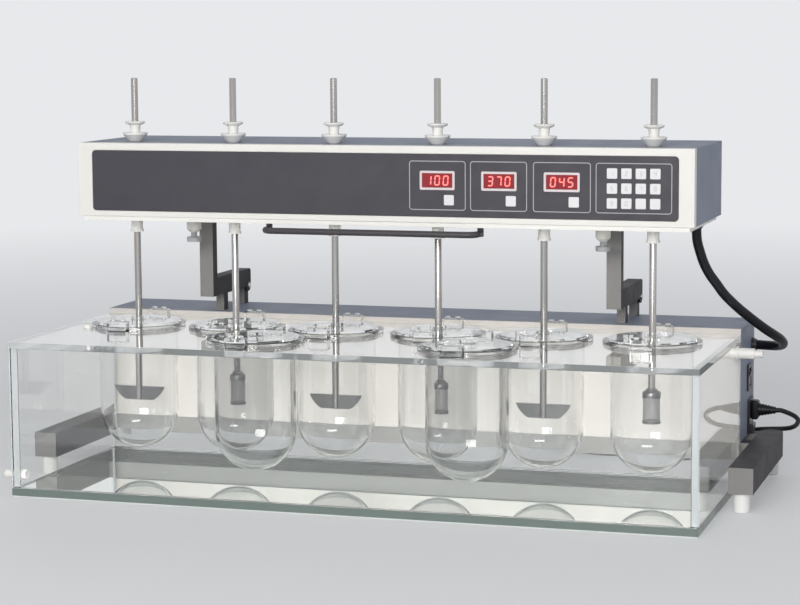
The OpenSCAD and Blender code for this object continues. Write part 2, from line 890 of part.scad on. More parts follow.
// Hollow spindle with its pulley, the collar under the head and the hub above it
module spindle(i) {
    bore = rod_d / 2 + run;
    tube_r = spindle_d / 2;
    color(white)
    translate([station_x[i - 1], shaft_y, 0])
    difference() {
        rotate_extrude() {
            translate([bore, collar_low]) square([tube_r - bore, cone_low + 1 - collar_low]);
            translate([bore, collar_low]) square([tube_r + 1 - bore, 3]);
            translate([0, pulley_z]) pulley_profile(bore);
            translate([bore, frame_z + 2 + bearing_h + seat])
                square([tube_r + 3 - bore, pulley_z - frame_z - 2 - bearing_h - seat + cut]);
            polygon([[bore, cone_low], [tube_r, cone_low], [cone_d / 2, cone_top - 2.5],
                     [cone_d / 2, cone_top], [neck_r, cone_top], [neck_r + 1, collar_z],
                     [collar_d / 2 - 1, collar_z + 2.5], [collar_d / 2, collar_z + 4],
                     [collar_d / 2 - 1, collar_z + 5.5], [bore, collar_z + 5.5]]);
        }
        // Three slits that let the collar grip the shaft
        for (a = [0, 120, 240])
            rotate([0, 0, a]) translate([bore - 1, -0.6, collar_z - 5]) cube([collar_d, 1.2, 12]);
    }
}

// Blade outline with curved ends, its lower edge on y = 0
function end_arc(n) = let (
        w1 = blade_top / 2, w0 = blade_bottom / 2,
        mx = (w1 + w0) / 2, my = blade_h / 2,
        chord = norm([w1 - w0, blade_h]),
        sag = sqrt(blade_r * blade_r - chord * chord / 4),
        cx = mx - sag * blade_h / chord, cy = my + sag * (w1 - w0) / chord,
        a0 = atan2(0 - cy, w0 - cx), a1 = atan2(blade_h - cy, w1 - cx))
    [for (i = [0 : n]) let (a = a0 + (a1 - a0) * i / n)
        [cx + blade_r * cos(a), cy + blade_r * sin(a)]];

module blade() {
    right = end_arc(8);
    left = [for (i = [8 : -1 : 0]) [-right[i][0], right[i][1]]];
    translate([0, blade_t / 2, 0]) rotate([90, 0, 0]) linear_extrude(blade_t)
        polygon(concat(right, left));
}

basket_rim_d = basket_d + 1.8;
screen_t = 0.8;

// Basket with its screen, two rims and the cap that the shaft carries
module basket() {
    rotate_extrude() {
        square([basket_rim_d / 2, 1]);
        difference() {
            square([basket_rim_d / 2, 3]);
            square([basket_d / 2 - screen_t, 3 + cut]);
        }
        translate([basket_d / 2 - screen_t, 2]) square([screen_t, basket_h - 2]);
        translate([0, basket_h]) polygon([[0, 0], [basket_rim_d / 2, 0], [basket_rim_d / 2, cap_h - 2],
            [rod_d / 2 + 3, cap_h], [0, cap_h]]);
    }
}

module shaft(i) {
    paddle = i % 2 == 1;
    low = paddle ? 0 : basket_h + cap_h - 1;
    color(steel)
    translate([station_x[i - 1], shaft_y, rod_low]) {
        translate([0, 0, low]) cylinder(d = rod_d, h = rod_len - low - 1);
        translate([0, 0, rod_len - 1]) cylinder(d1 = rod_d, d2 = rod_d - 2, h = 1);
        if (paddle) blade();
        else basket();
    }
}

stopper_d = 13;
stopper_h = 5;
port_angle = 205;

// Lid: a disc on the flange, a step inside the rim, and a hub; the port has a stopper
module lid(i) {
    p = vessel_at[i - 1];
    worked = i <= 6;
    port = port_r * [cos(port_angle), sin(port_angle)];
    color(clear)
    translate([p[0], p[1], lid_z]) {
        difference() {
            union() {
                cylinder(d = lid_d, h = lid_t);
                translate([0, 0, -plug_t]) cylinder(d = plug_d, h = plug_t);
                cylinder(d = lid_hub_d, h = lid_t + lid_hub_h);
            }
            if (worked)
                translate([0, 0, -plug_t - cut])
                    cylinder(d = rod_d + 2 * fit_r, h = plug_t + lid_t + lid_hub_h + 2 * cut);
            translate([port[0], port[1], -plug_t - cut])
                cylinder(d = port_d, h = plug_t + lid_t + 2 * cut, $fn = small);
        }
        translate([port[0], port[1], -plug_t])
            cylinder(d = port_d - 0.2, h = plug_t + lid_t, $fn = small);
        translate([port[0], port[1], lid_t]) cylinder(d = stopper_d, h = stopper_h);
    }
}

// Cords

function unit(v) = v / norm(v);

// A ring of points round p, square to the direction d
function ring_at(p, d, r, sides, up) =
    let (a = unit(cross(d, up)), b = cross(a, d))
    [for (k = [0 : sides - 1]) p + r * (a * cos(360 * k / sides) + b * sin(360 * k / sides))];

// A tube of one polyhedron along the points
module sweep(pts, r, sides, up) {
    n = len(pts);
    dirs = [for (i = [0 : n - 1])
        unit(i == 0 ? pts[1] - pts[0] : i == n - 1 ? pts[i] - pts[i - 1] : pts[i + 1] - pts[i - 1])];
    points = [for (i = [0 : n - 1]) each ring_at(pts[i], dirs[i], r, sides, up)];
    sidefaces = [for (i = [0 : n - 2], k = [0 : sides - 1])
        let (a = i * sides + k, b = i * sides + (k + 1) % sides)
        each [[a, b, b + sides], [a, b + sides, a + sides]]];
    caps = [[for (k = [sides - 1 : -1 : 0]) k], [for (k = [0 : sides - 1]) (n - 1) * sides + k]];
    polyhedron(points, concat(sidefaces, caps), convexity = 6);
}

conduit_route = [
    [conduit_x, conduit_y, head_z + 4],
    [conduit_x, conduit_y, head_z - 8],
    [404, 138, 334], [408, 140, 318], [413, 142, 303], [420, 145, 289], [429, 148, 276],
    [438, 151, 263], [448, 155, 252], [459, 160, 241], [470, 166, 231], [481, 174, 221],
    [491, 183, 212], [500, 194, 204], [506, 207, 197], [508, 221, 190], [504, 235, 185],
    [495, 247, 182], [482, 255, 181],
    [side_x + 8, conduit_end_y, conduit_end_z],
    [side_x - case_t, conduit_end_y, conduit_end_z]
];

module conduit() {
    color(black) sweep(conduit_route, conduit_d / 2, 12, [-0.5, 0.2, 0.8]);
}

connector_l = 10;
relief_l = 24;
socket_z = inlet_z - socket_drop;
cord_exit = [side_x + 3 + connector_l + relief_l, inlet_y, socket_z];

// Connector in the inlet, with its tapered strain relief
module mains_connector() {
    color(black)
    translate([side_x, inlet_y, socket_z]) rotate([0, 90, 0]) {
        translate([-connector_h / 2, -connector_w / 2, -connector_in])
            cube([connector_h, connector_w, connector_in + 3 + connector_l]);
        translate([-connector_h / 2 - 2, -connector_w / 2 - 2, 3 + seat])
            cube([connector_h + 4, connector_w + 4, connector_l - seat]);
        translate([0, 0, 3 + connector_l]) cylinder(d1 = 18, d2 = cord_d + 1.5, h = relief_l - 1);
        translate([0, 0, 2 + connector_l + relief_l]) cylinder(d = cord_d + 1.5, h = 1);
    }
}

// The coil lies on the bench behind the rear case
coil_at = [230, 388];
coil_r = 26.5;
coil_step = cord_d + 0.6;
coil_turns = 3;
coil_layers = 2;
coil_rings = 24;
coil_z = cord_d / 2;
coil_start_y = coil_at[1] - coil_r - coil_step * coil_turns;

cord_route = [
    cord_exit,
    [503, 245, 93], [511, 248, 90], [518, 253, 86], [522, 259, 82], [524, 266, 77],
    [522, 274, 71], [518, 281, 66], [511, 287, 62], [503, 290, 60], [494, 291, 59],
    [479, 292, 58], [461, 293, 56], [444, 295, 51], [429, 298, 43], [415, 303, 33],
    [401, 309, 23], [386, 316, 14], [370, 323, 7], [352, 330, coil_z + 0.5],
    [333, 335, coil_z], [313, 338, coil_z], [293, 340, coil_z],
    [coil_at[0] + 44, coil_start_y, coil_z],
    [coil_at[0] + 30, coil_start_y, coil_z]
];

// Radius and height along the coil: layer 1 winds in, layer 2 climbs and winds out
function coil_radius(t) = coil_r + coil_step * abs(coil_turns - t);
function coil_height(t) = coil_z + coil_step * min(1, max(0, 2 * (t - coil_turns) + 0.5));
function coil_point(t) = let (a = -90 - 360 * t, r = coil_radius(t))
    [coil_at[0] + r * cos(a), coil_at[1] + r * sin(a), coil_height(t)];

function coil_tail(d) = coil_point(coil_layers * coil_turns) + [-d, 0, 0];

coil_route = concat(
    [[coil_at[0] + 30, coil_start_y, coil_z], [coil_at[0] + 15, coil_start_y, coil_z]],
    [for (i = [0 : coil_turns * coil_layers * coil_rings]) coil_point(i / coil_rings)],
    [coil_tail(8), coil_tail(16)]
);

// Least distance between stretches of the coil that lie more than half a turn apart
coil_least = min([
    for (i = [0 : len(coil_route) - 1]) min([
        for (j = [0 : len(coil_route) - 1])
            abs(i - j) > coil_rings / 2 ? norm(coil_route[i] - coil_route[j]) : 1000
    ])
]);
echo(coil_gap_mm = coil_least - cord_d);

function path_length(p) = [for (i = [1 : len(p) - 1]) norm(p[i] - p[i - 1])] * [for (i = [1 : len(p) - 1]) 1];
echo(cord_length_mm = path_length(cord_route) + path_length(coil_route));

module mains_cord() {
    color(black) sweep(cord_route, cord_d / 2, 8, [0, 0.1, 1]);
}

module cord_coil() {
    color(black) sweep(coil_route, cord_d / 2, 6, [0, 0, 1]);
}

plug_body = [38, 24, 20];

// Plug at the coil's free end, with its strain relief and two round pins
module mains_plug() {
    tail = coil_route[len(coil_route) - 1];
    color(black)
    translate(tail) rotate([0, -90, 0]) {
        cylinder(d1 = cord_d + 2, d2 = 13, h = 24);
        translate([-plug_body[2] / 2, -plug_body[1] / 2, 24])
            cube([plug_body[2], plug_body[1], plug_body[0]]);
        for (s = [-1, 1])
            translate([0, s * 6, 24 + plug_body[0]]) cylinder(d = 4, h = 19, $fn = small);
    }
}

base_frame();
feet();
case_cover();
case_front_panel();
heater_unit();
circulation_pump();
power_board();
power_inlet();
switch_housing();
rocker_switch();
tank_floor();
tank_walls();
vessel_plate();
seat_rings();
glass_vessels();
vessel_clamps();
tank_fittings();
hinge_posts();
hinge_pins();
head_cover();
head_front_frame();
head_base();
control_panel();
display_windows();
membrane_keys();
tilt_arms();
lift_handle();
drive_motor();
motor_pulley();
drive_belt();
shaft_bearings();
bearing_deck();
control_board();
thumb_knob(-1);  // left_thumb_knob
thumb_knob(1);  // right_thumb_knob
for (i = [1 : 6]) {
    spindle(i);
    shaft(i);
}
for (i = [1 : 8])
    lid(i);
conduit();
mains_connector();
mains_cord();
cord_coil();
mains_plug();
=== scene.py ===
"""Looks of the dissolution tester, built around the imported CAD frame. Lengths are in metres."""

import json
import math

import bmesh
import bpy
from mathutils import Matrix, Vector


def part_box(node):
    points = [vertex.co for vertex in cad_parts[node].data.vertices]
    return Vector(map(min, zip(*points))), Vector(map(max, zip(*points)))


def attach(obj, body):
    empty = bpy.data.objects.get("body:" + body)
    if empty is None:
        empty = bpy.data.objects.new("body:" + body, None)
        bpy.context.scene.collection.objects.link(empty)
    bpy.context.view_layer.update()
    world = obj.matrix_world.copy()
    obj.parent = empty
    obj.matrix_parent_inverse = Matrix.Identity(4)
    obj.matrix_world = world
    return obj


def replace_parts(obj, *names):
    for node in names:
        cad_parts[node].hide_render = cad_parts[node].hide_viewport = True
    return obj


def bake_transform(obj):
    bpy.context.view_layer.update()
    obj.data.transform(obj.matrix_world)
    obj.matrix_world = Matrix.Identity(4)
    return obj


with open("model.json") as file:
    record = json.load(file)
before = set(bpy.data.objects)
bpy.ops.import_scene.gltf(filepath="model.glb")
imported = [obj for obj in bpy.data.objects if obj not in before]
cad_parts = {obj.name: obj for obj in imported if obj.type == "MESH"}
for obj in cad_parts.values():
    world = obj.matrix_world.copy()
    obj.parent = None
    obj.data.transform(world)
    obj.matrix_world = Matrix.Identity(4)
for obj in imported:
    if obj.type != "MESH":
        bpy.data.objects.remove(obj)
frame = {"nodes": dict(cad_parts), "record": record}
NODES = frame["nodes"]
BODY_OF = {n: b for b, ns in frame["record"]["behaviour"]["bodies"].items() for n in ns}
SLOT_OF = {s["node"]: s["material_slot"] for s in frame["record"]["subparts"]}
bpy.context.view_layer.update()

MM = 0.001

# Places taken from the frame
PANEL_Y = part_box("control_panel")[0].y
PLATE_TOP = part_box("vessel_plate")[1].z
CASE_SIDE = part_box("case_cover")[1].x
SPINDLES = [(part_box(f"spindle_{i}")[0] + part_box(f"spindle_{i}")[1]) / 2 for i in range(1, 7)]
ROW_Y = SPINDLES[0].y

# The two spare vessels stand ahead of the row of six
SPARE_X = (-145 * MM, 145 * MM)
SPARE_AHEAD = 115 * MM

# The bath's walls, the stirring rods and the hose
WALL_THICK = 10 * MM
ROD_RADIUS = 4.7 * MM
CONDUIT_RADIUS = 6.5 * MM

# A face whose normal has this much along an axis counts as square to it
FLAT = 0.99

# The pale grey that the camera, glass and metal see behind the object
BACKDROP = (0.8, 0.815, 0.835)


# Camera


def make_camera():
    """The camera that the photograph was taken with, solved from the object's straight edges."""
    place = Vector((0.92269, -2.84454, 0.62171))
    yaw, pitch, roll = 0.303009, -0.121809, -0.006429
    flat = math.cos(pitch)
    forward = Vector((-math.sin(yaw) * flat, math.cos(yaw) * flat, math.sin(pitch)))
    level = Vector((math.cos(yaw), math.sin(yaw), 0))
    above = level.cross(forward)
    right = level * math.cos(roll) + above * math.sin(roll)
    up = above * math.cos(roll) - level * math.sin(roll)
    data = bpy.data.cameras.new("photo_camera")
    data.sensor_width = 36
    data.lens = 102.244
    camera = bpy.data.objects.new("photo_camera", data)
    bpy.context.scene.collection.objects.link(camera)
    turn = Matrix((right, up, -forward)).transposed()
    camera.matrix_world = Matrix.Translation(place) @ turn.to_4x4()
    bpy.context.scene.camera = camera


make_camera()


# Materials


# Sockets of a colour Mix node
MIX_FACTOR, MIX_A, MIX_B, MIX_RESULT = 0, 6, 7, 2


class Shader:
    """A node material with one Principled shader, and short calls for what varies over it."""

    def __init__(self, name, color, rough=0.5, metal=0.0, **sockets):
        self.mat = bpy.data.materials.new(name)
        self.mat.use_nodes = True
        self.mat.diffuse_color = (*color, 1)
        self.tree = self.mat.node_tree
        self.bsdf = self.tree.nodes["Principled BSDF"]
        self.bsdf.inputs["Base Color"].default_value = (*color, 1)
        self.bsdf.inputs["Roughness"].default_value = rough
        self.bsdf.inputs["Metallic"].default_value = metal
        for key, value in sockets.items():
            self.bsdf.inputs[key.replace("_", " ")].default_value = value
        self.coords = self.tree.nodes.new("ShaderNodeTexCoord")

    def link(self, a, b):
        self.tree.links.new(a, b)

    def noise(self, scale, stretch=(1, 1, 1), detail=3, rough=0.55):
        """Noise in metres of the object's own space, stretched along its axes."""
        place = self.tree.nodes.new("ShaderNodeMapping")
        place.inputs["Scale"].default_value = stretch
        self.link(self.coords.outputs["Object"], place.inputs["Vector"])
        tex = self.tree.nodes.new("ShaderNodeTexNoise")
        tex.inputs["Scale"].default_value = scale
        tex.inputs["Detail"].default_value = detail
        tex.inputs["Roughness"].default_value = rough
        self.link(place.outputs["Vector"], tex.inputs["Vector"])
        return tex.outputs["Fac"]

    def spread(self, source, low, high, start=0.3, stop=0.7):
        """Maps a value between start and stop to the range from low to high."""
        node = self.tree.nodes.new("ShaderNodeMapRange")
        node.inputs["From Min"].default_value = start
        node.inputs["From Max"].default_value = stop
        node.inputs["To Min"].default_value = low
        node.inputs["To Max"].default_value = high
        self.link(source, node.inputs["Value"])
        return node.outputs["Result"]

    def rough_from(self, source, low, high):
        self.link(self.spread(source, low, high), self.bsdf.inputs["Roughness"])

    def mix_base(self, factor, other):
        """Mixes another colour into the base colour by this factor."""
        mix = self.tree.nodes.new("ShaderNodeMix")
        mix.data_type = "RGBA"
        base = self.bsdf.inputs["Base Color"]
        if base.is_linked:
            self.link(base.links[0].from_socket, mix.inputs[MIX_A])
        else:
            mix.inputs[MIX_A].default_value = base.default_value[:]
        mix.inputs[MIX_B].default_value = (*other, 1)
        self.link(factor, mix.inputs[MIX_FACTOR])
        self.link(mix.outputs[MIX_RESULT], base)

    def tint_from(self, source, other, share=1.0):
        """Mixes in another colour where a noise value is high."""
        self.mix_base(self.spread(source, 0, share), other)

    def wear(self, other, share=0.35):
        """Mixes in another colour along the sharp edges."""
        geometry = self.tree.nodes.new("ShaderNodeNewGeometry")
        edge = self.spread(geometry.outputs["Pointiness"], 0, share, start=0.51, stop=0.58)
        self.mix_base(edge, other)

    def bump(self, source, depth):
        """Adds a bump of this depth in metres."""
        node = self.tree.nodes.new("ShaderNodeBump")
        node.inputs["Distance"].default_value = depth
        self.link(source, node.inputs["Height"])
        self.link(node.outputs["Normal"], self.bsdf.inputs["Normal"])

    def pass_light(self, tint):
        """Lets the lamps' rays through, so that what stands in the glass is lit."""
        path = self.tree.nodes.new("ShaderNodeLightPath")
        clear = self.tree.nodes.new("ShaderNodeBsdfTransparent")
        clear.inputs["Color"].default_value = (*tint, 1)
        mix = self.tree.nodes.new("ShaderNodeMixShader")
        out = self.tree.nodes["Material Output"]
        self.link(path.outputs["Is Shadow Ray"], mix.inputs[0])
        self.link(self.bsdf.outputs[0], mix.inputs[1])
        self.link(clear.outputs[0], mix.inputs[2])
        self.link(mix.outputs[0], out.inputs["Surface"])


def paint(name, color, rough, peel=6e-6, shade=None, gloss=0.4):
    """Sprayed paint: faint orange peel, uneven gloss and lighter worn edges."""
    s = Shader(name, color, rough, Specular_IOR_Level=gloss)
    s.rough_from(s.noise(22, detail=4), rough - 0.06, rough + 0.08)
    s.tint_from(s.noise(5, detail=5), shade or [c * 0.93 for c in color], 0.6)
    s.wear([min(1, c * 1.25 + 0.03) for c in color])
    s.bump(s.noise(900, detail=2), peel)
    return s.mat


def moulded(name, color, rough, grain=5e-6):
    """Moulded plastic with a fine grain."""
    s = Shader(name, color, rough)
    s.rough_from(s.noise(40, detail=4), rough - 0.08, rough + 0.1)
    s.tint_from(s.noise(12), [c * 0.9 for c in color], 0.5)
    s.bump(s.noise(2500, detail=2), grain)
    return s.mat


def brushed(name, color, rough, stretch=(1, 1, 40), depth=2e-6):
    """Metal with fine lines across the stretched axis."""
    s = Shader(name, color, rough, 1.0)
    lines = s.noise(60, stretch=stretch, detail=6, rough=0.7)
    s.rough_from(lines, rough - 0.06, rough + 0.09)
    s.tint_from(s.noise(9, detail=4), [c * 0.82 for c in color], 0.5)
    s.bump(lines, depth)
    return s.mat


def clear(name, color, rough, ior, tint, smear=0.02):
    """Clear glass or acrylic, with faint smears in its gloss."""
    s = Shader(name, color, rough, Transmission_Weight=1.0, IOR=ior)
    s.rough_from(s.noise(14, detail=5), rough, rough + smear)
    s.pass_light(tint)
    return s.mat


def see_through(name, color, rough, share):
    """Polished acrylic through which most or part of what lies behind it shows."""
    s = Shader(name, color, rough, Alpha=share)
    s.rough_from(s.noise(30, detail=4), rough - 0.05, rough + 0.08)
    s.tint_from(s.noise(8), [c * 0.9 for c in color], 0.6)
    return s.mat


def mirror_plate():
    """The green-grey floor plate, whose smooth top mirrors what stands over it."""
    s = Shader("floor_mirror_green", (0.88, 0.93, 0.92), 0.01, 0.9)
    s.rough_from(s.noise(9, detail=4), 0.0, 0.02)
    s.tint_from(s.noise(6, detail=3), (0.8, 0.87, 0.85), 0.5)
    return s.mat


def streaked_panel():
    """The off-white rear panel, with faint vertical streaks."""
    s = Shader("panel_white_paint", (0.68, 0.645, 0.62), 0.42)
    streaks = s.noise(16, stretch=(1, 1, 0.02), detail=5, rough=0.65)
    s.tint_from(streaks, (0.54, 0.505, 0.48), 0.8)
    s.tint_from(s.noise(5, stretch=(1, 1, 0.15), detail=2), (0.73, 0.705, 0.68), 0.5)
    s.rough_from(streaks, 0.34, 0.5)
    s.bump(streaks, 2e-5)
    return s.mat


def rubber(name, color, rough):
    """Matt rubber with a fine grain."""
    s = Shader(name, color, rough, Specular_IOR_Level=0.25)
    s.rough_from(s.noise(60, detail=4), rough - 0.08, rough + 0.1)
    s.bump(s.noise(700, detail=3), 1.2e-5)
    return s.mat


def glow(name, color, strength):
    """A lit segment of a display."""
    s = Shader(name, color, 0.4)
    s.bsdf.inputs["Emission Color"].default_value = (*color, 1)
    s.bsdf.inputs["Emission Strength"].default_value = strength
    s.tint_from(s.noise(300), [c * 0.8 for c in color], 0.4)
    return s.mat


MAT = {
    "head_white": paint("head_white_paint", (0.83, 0.815, 0.77), 0.36),
    "cover_grey": paint("cover_grey_paint", (0.25, 0.28, 0.36), 0.5, 1.2e-5, gloss=0.12),
    "frame_grey": paint("frame_grey_paint", (0.042, 0.04, 0.046), 0.5, gloss=0.1),
    "arm_grey": paint("arm_grey_paint", (0.22, 0.215, 0.21), 0.38),
    # A darker copy of the arms' grey, for painted shade on their sides and on the foot behind the
    # upright
    "arm_painted_shade": paint("arm_painted_shade_grey", (0.036, 0.033, 0.039), 0.5, gloss=0.1),
    "handle_grey": paint("handle_grey_paint", (0.06, 0.056, 0.061), 0.38, gloss=0.35),
    "panel_white": streaked_panel(),
    "panel_dark": moulded("panel_dark_film", (0.046, 0.044, 0.056), 0.55, 3e-6),
    "panel_line": moulded("panel_line_ink", (0.44, 0.44, 0.47), 0.5),
    "key_white": moulded("key_white_film", (0.8, 0.8, 0.82), 0.38, 3e-6),
    "key_ink": moulded("key_ink", (0.5, 0.5, 0.54), 0.5),
    "display_red": moulded("display_window", (0.3, 0.02, 0.03), 0.14, 1e-6),
    "display_frame": moulded("display_frame_ink", (0.72, 0.66, 0.68), 0.42),
    "digit_red": glow("digit_glow", (1.0, 0.16, 0.14), 1.6),
    "foot_white": moulded("foot_white_plastic", (0.92, 0.92, 0.9), 0.45),
    "white_plastic": moulded("fitting_white_plastic", (0.88, 0.87, 0.85), 0.4),
    "hub_plastic": moulded("hub_white_plastic", (0.91, 0.9, 0.87), 0.34),
    "knob_grey": moulded("knob_grey_plastic", (0.42, 0.43, 0.45), 0.4),
    "black_plastic": moulded("socket_black_plastic", (0.02, 0.02, 0.023), 0.36),
    "switch_mark": moulded("switch_mark_ink", (0.78, 0.78, 0.76), 0.4),
    "hose_black": rubber("hose_black_rubber", (0.006, 0.006, 0.009), 0.36),
    "cord_black": rubber("cord_black_rubber", (0.007, 0.007, 0.009), 0.42),
    "belt_rubber": rubber("belt_rubber", (0.03, 0.03, 0.03), 0.6),
    "shaft_steel": brushed("shaft_steel_polish", (0.44, 0.425, 0.41), 0.2),
    "blade_steel": brushed("blade_steel_satin", (0.2, 0.2, 0.205), 0.32, (40, 1, 1)),
    "inner_steel": brushed("inner_steel_satin", (0.6, 0.6, 0.6), 0.32),
    "deck_alloy": brushed("deck_alloy", (0.68, 0.68, 0.69), 0.36, (1, 40, 1)),
    "screw_steel": brushed("screw_steel", (0.7, 0.7, 0.7), 0.28),
    "circuit_green": moulded("circuit_green_lacquer", (0.03, 0.16, 0.07), 0.3),
    "clear_acrylic": clear("bath_acrylic", (0.995, 0.997, 0.995), 0.0, 1.49, (0.98, 0.984, 0.98)),
    "back_wall": see_through("back_wall_acrylic", (0.9, 0.93, 0.92), 0.06, 0.05),
    "floor_green": mirror_plate(),
    "floor_edge": moulded("floor_edge_acrylic", (0.17, 0.215, 0.2), 0.16, 1e-6),
    # White for painted highlights along the floor plate's foot and the vessel plate's upper edge
    "white_painted_highlight": moulded("white_painted_highlight_line", (0.75, 0.78, 0.77), 0.3, 1e-6),
    "seam_pale": moulded("seam_pale_cement", (0.5, 0.53, 0.545), 0.2, 1e-6),
    "edge_pale": see_through("edge_pale_acrylic", (0.62, 0.66, 0.67), 0.12, 0.4),
    "lid_acrylic": clear("lid_acrylic", (0.985, 0.993, 0.99), 0.0, 1.49, (0.96, 0.975, 0.97)),
    "vessel_glass": clear(
        "vessel_glass", (0.99, 0.995, 0.995), 0.0, 1.47, (0.9, 0.93, 0.935), 0.004
    ),
}


# Pieces


def as_piece(name, mesh, body, slot, material=None):
    """Links a mesh as a piece that rides on a body."""
    obj = bpy.data.objects.new(name, mesh)
    bpy.context.scene.collection.objects.link(obj)
    mesh.materials.clear()
    mesh.materials.append(MAT[material or slot])
    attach(obj, body)
    return obj


def to_mesh(bm, name, smooth_angle=50):
    """A smooth-shaded mesh that is sharp where faces meet at more than the angle."""
    mesh = bpy.data.meshes.new(name)
    bm.normal_update()
    bm.to_mesh(mesh)
    bm.free()
    for p in mesh.polygons:
        p.use_smooth = True
    mesh.set_sharp_from_angle(angle=math.radians(smooth_angle))
    return mesh


def make_piece(bm, name, body, slot, material=None, smooth_angle=50):
    """Turns the faces outward and makes the bmesh a piece."""
    bmesh.ops.recalc_face_normals(bm, faces=bm.faces)
    return as_piece(name, to_mesh(bm, name, smooth_angle), body, slot, material)


def soften(bm, width, steps=2, angle=32):
    """Rounds every edge sharper than the angle."""
    limit = math.radians(angle)
    sharp = [e for e in bm.edges if len(e.link_faces) == 2 and e.calc_face_angle(0) > limit]
    if sharp:
        bmesh.ops.bevel(
            bm,
            geom=sharp,
            offset=width,
            offset_type="OFFSET",
            segments=steps,
            profile=0.5,
            affect="EDGES",
            clamp_overlap=True,
        )


def weigh(obj):
    """Lets the large faces set the shading, so that flat faces stay flat beside rounded edges."""
    mod = obj.modifiers.new("weighted_normals", "WEIGHTED_NORMAL")
    mod.mode = "FACE_AREA"
    mod.weight = 80
    mod.keep_sharp = True
    return obj


def clean_copy(node):
    """A bmesh of the CAD node with its flat faces whole again."""
    same_point = 2e-6
    same_plane = math.radians(0.4)
    bm = bmesh.new()
    bm.from_mesh(NODES[node].data)
    bmesh.ops.remove_doubles(bm, verts=bm.verts, dist=same_point)
    bmesh.ops.dissolve_limit(bm, angle_limit=same_plane, verts=bm.verts, edges=bm.edges)
    return bm


def dress(node, width, steps=2, material=None):
    """Replaces a CAD node by a copy of itself with rounded edges."""
    name = f"{node}_finish"
    bm = clean_copy(node)
    soften(bm, width, steps)
    obj = as_piece(name, to_mesh(bm, name), BODY_OF[node], SLOT_OF[node], material)
    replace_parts(obj, node)
    return weigh(obj)


def recolor(obj, material, test):
    """Gives a further material to the faces that pass the test."""
    obj.data.materials.append(MAT[material])
    last = len(obj.data.materials) - 1
    for p in obj.data.polygons:
        if test(p):
            p.material_index = last


def join(bm, other):
    """Adds the faces of the other bmesh and frees it."""
    mesh = bpy.data.meshes.new("joined")
    other.to_mesh(mesh)
    other.free()
    bm.from_mesh(mesh)
    bpy.data.meshes.remove(mesh)


def add_box(bm, low, high):
    size = Vector(high) - Vector(low)
    middle = (Vector(high) + Vector(low)) / 2
    verts = bmesh.ops.create_cube(bm, size=1, matrix=Matrix.Translation(middle))["verts"]
    bmesh.ops.scale(bm, vec=size, verts=verts, space=Matrix.Translation(-middle))
    return verts


def bridge(bm, rings, closed=False):
    """Joins rings of equally many points with four-sided faces."""
    for a, b in zip(rings, rings[1:] + rings[:1] if closed else rings[1:]):
        for k in range(len(a)):
            n = (k + 1) % len(a)
            bm.faces.new((a[k], a[n], b[n], b[k]))


def add_lathe(bm, profile, steps, place=None, closed=False):
    """Turns (radius, height) points about Z; a radius of 0 closes an end."""
    place = place or Matrix.Identity(4)
    turns = [2 * math.pi * k / steps for k in range(steps)]
    rings = []
    for r, z in profile:
        if r == 0:
            rings.append([bm.verts.new(place @ Vector((0, 0, z)))])
        else:
            points = [Vector((r * math.cos(t), r * math.sin(t), z)) for t in turns]
            rings.append([bm.verts.new(place @ p) for p in points])
    for a, b in zip(rings, rings[1:] + rings[:1] if closed else rings[1:]):
        for k in range(steps):
            n = (k + 1) % steps
            if len(a) == 1:
                bm.faces.new((a[0], b[n], b[k]))
            elif len(b) == 1:
                bm.faces.new((a[k], a[n], b[0]))
            else:
                bm.faces.new((a[k], a[n], b[n], b[k]))


def arc(cx, cz, r, start, stop, steps):
    """Points on an arc from start to stop, in degrees."""
    turns = [math.radians(start + (stop - start) * i / steps) for i in range(steps + 1)]
    return [(cx + r * math.cos(t), cz + r * math.sin(t)) for t in turns]


def add_screw(bm, place, radius=3.2 * MM, height=1.6 * MM):
    """A domed screw head, along the place's +Z."""
    rim, dome = 0.35 * height, 0.65 * height
    tilts = [math.radians(a) for a in range(90, 14, -15)]
    profile = [(radius, 0)]
    profile += [(radius * math.sin(t), rim + dome * math.cos(t)) for t in tilts]
    profile += [(0, height)]
    add_lathe(bm, profile, 20, place)


def smooth_curve(points, per_leg=6):
    """Points on a Catmull-Rom curve through the given ones."""
    p = [Vector(q) for q in points]
    p = p[:1] + p + p[-1:]
    out = []
    for a, b, c, d in zip(p, p[1:], p[2:], p[3:]):
        for k in range(per_leg):
            t = k / per_leg
            linear = 2 * b + (c - a) * t
            square = (2 * a - 5 * b + 4 * c - d) * t * t
            cube = (3 * b - a - 3 * c + d) * t**3
            out.append(0.5 * (linear + square + cube))
    out.append(p[-1])
    return out


def tube_mesh(name, points, radius, sides=16):
    """A tube round a path, its rings square to it and free of twist."""
    turns = [2 * math.pi * k / sides for k in range(sides)]
    last = len(points) - 1
    bm = bmesh.new()
    rings = []
    side = None
    for i, p in enumerate(points):
        along = (points[min(i + 1, last)] - points[max(i - 1, 0)]).normalized()
        if side is None:
            side = along.cross(Vector((0.3, 0.2, 0.9))).normalized()
        side = (side - along * side.dot(along)).normalized()
        other = along.cross(side)
        around = [side * math.cos(t) + other * math.sin(t) for t in turns]
        rings.append([bm.verts.new(p + radius * v) for v in around])
    bridge(bm, rings)
    bm.faces.new(list(reversed(rings[0])))
    bm.faces.new(rings[-1])
    bmesh.ops.recalc_face_normals(bm, faces=bm.faces)
    return to_mesh(bm, name)


# Mains cord, on the route of the CAD model, in millimetres

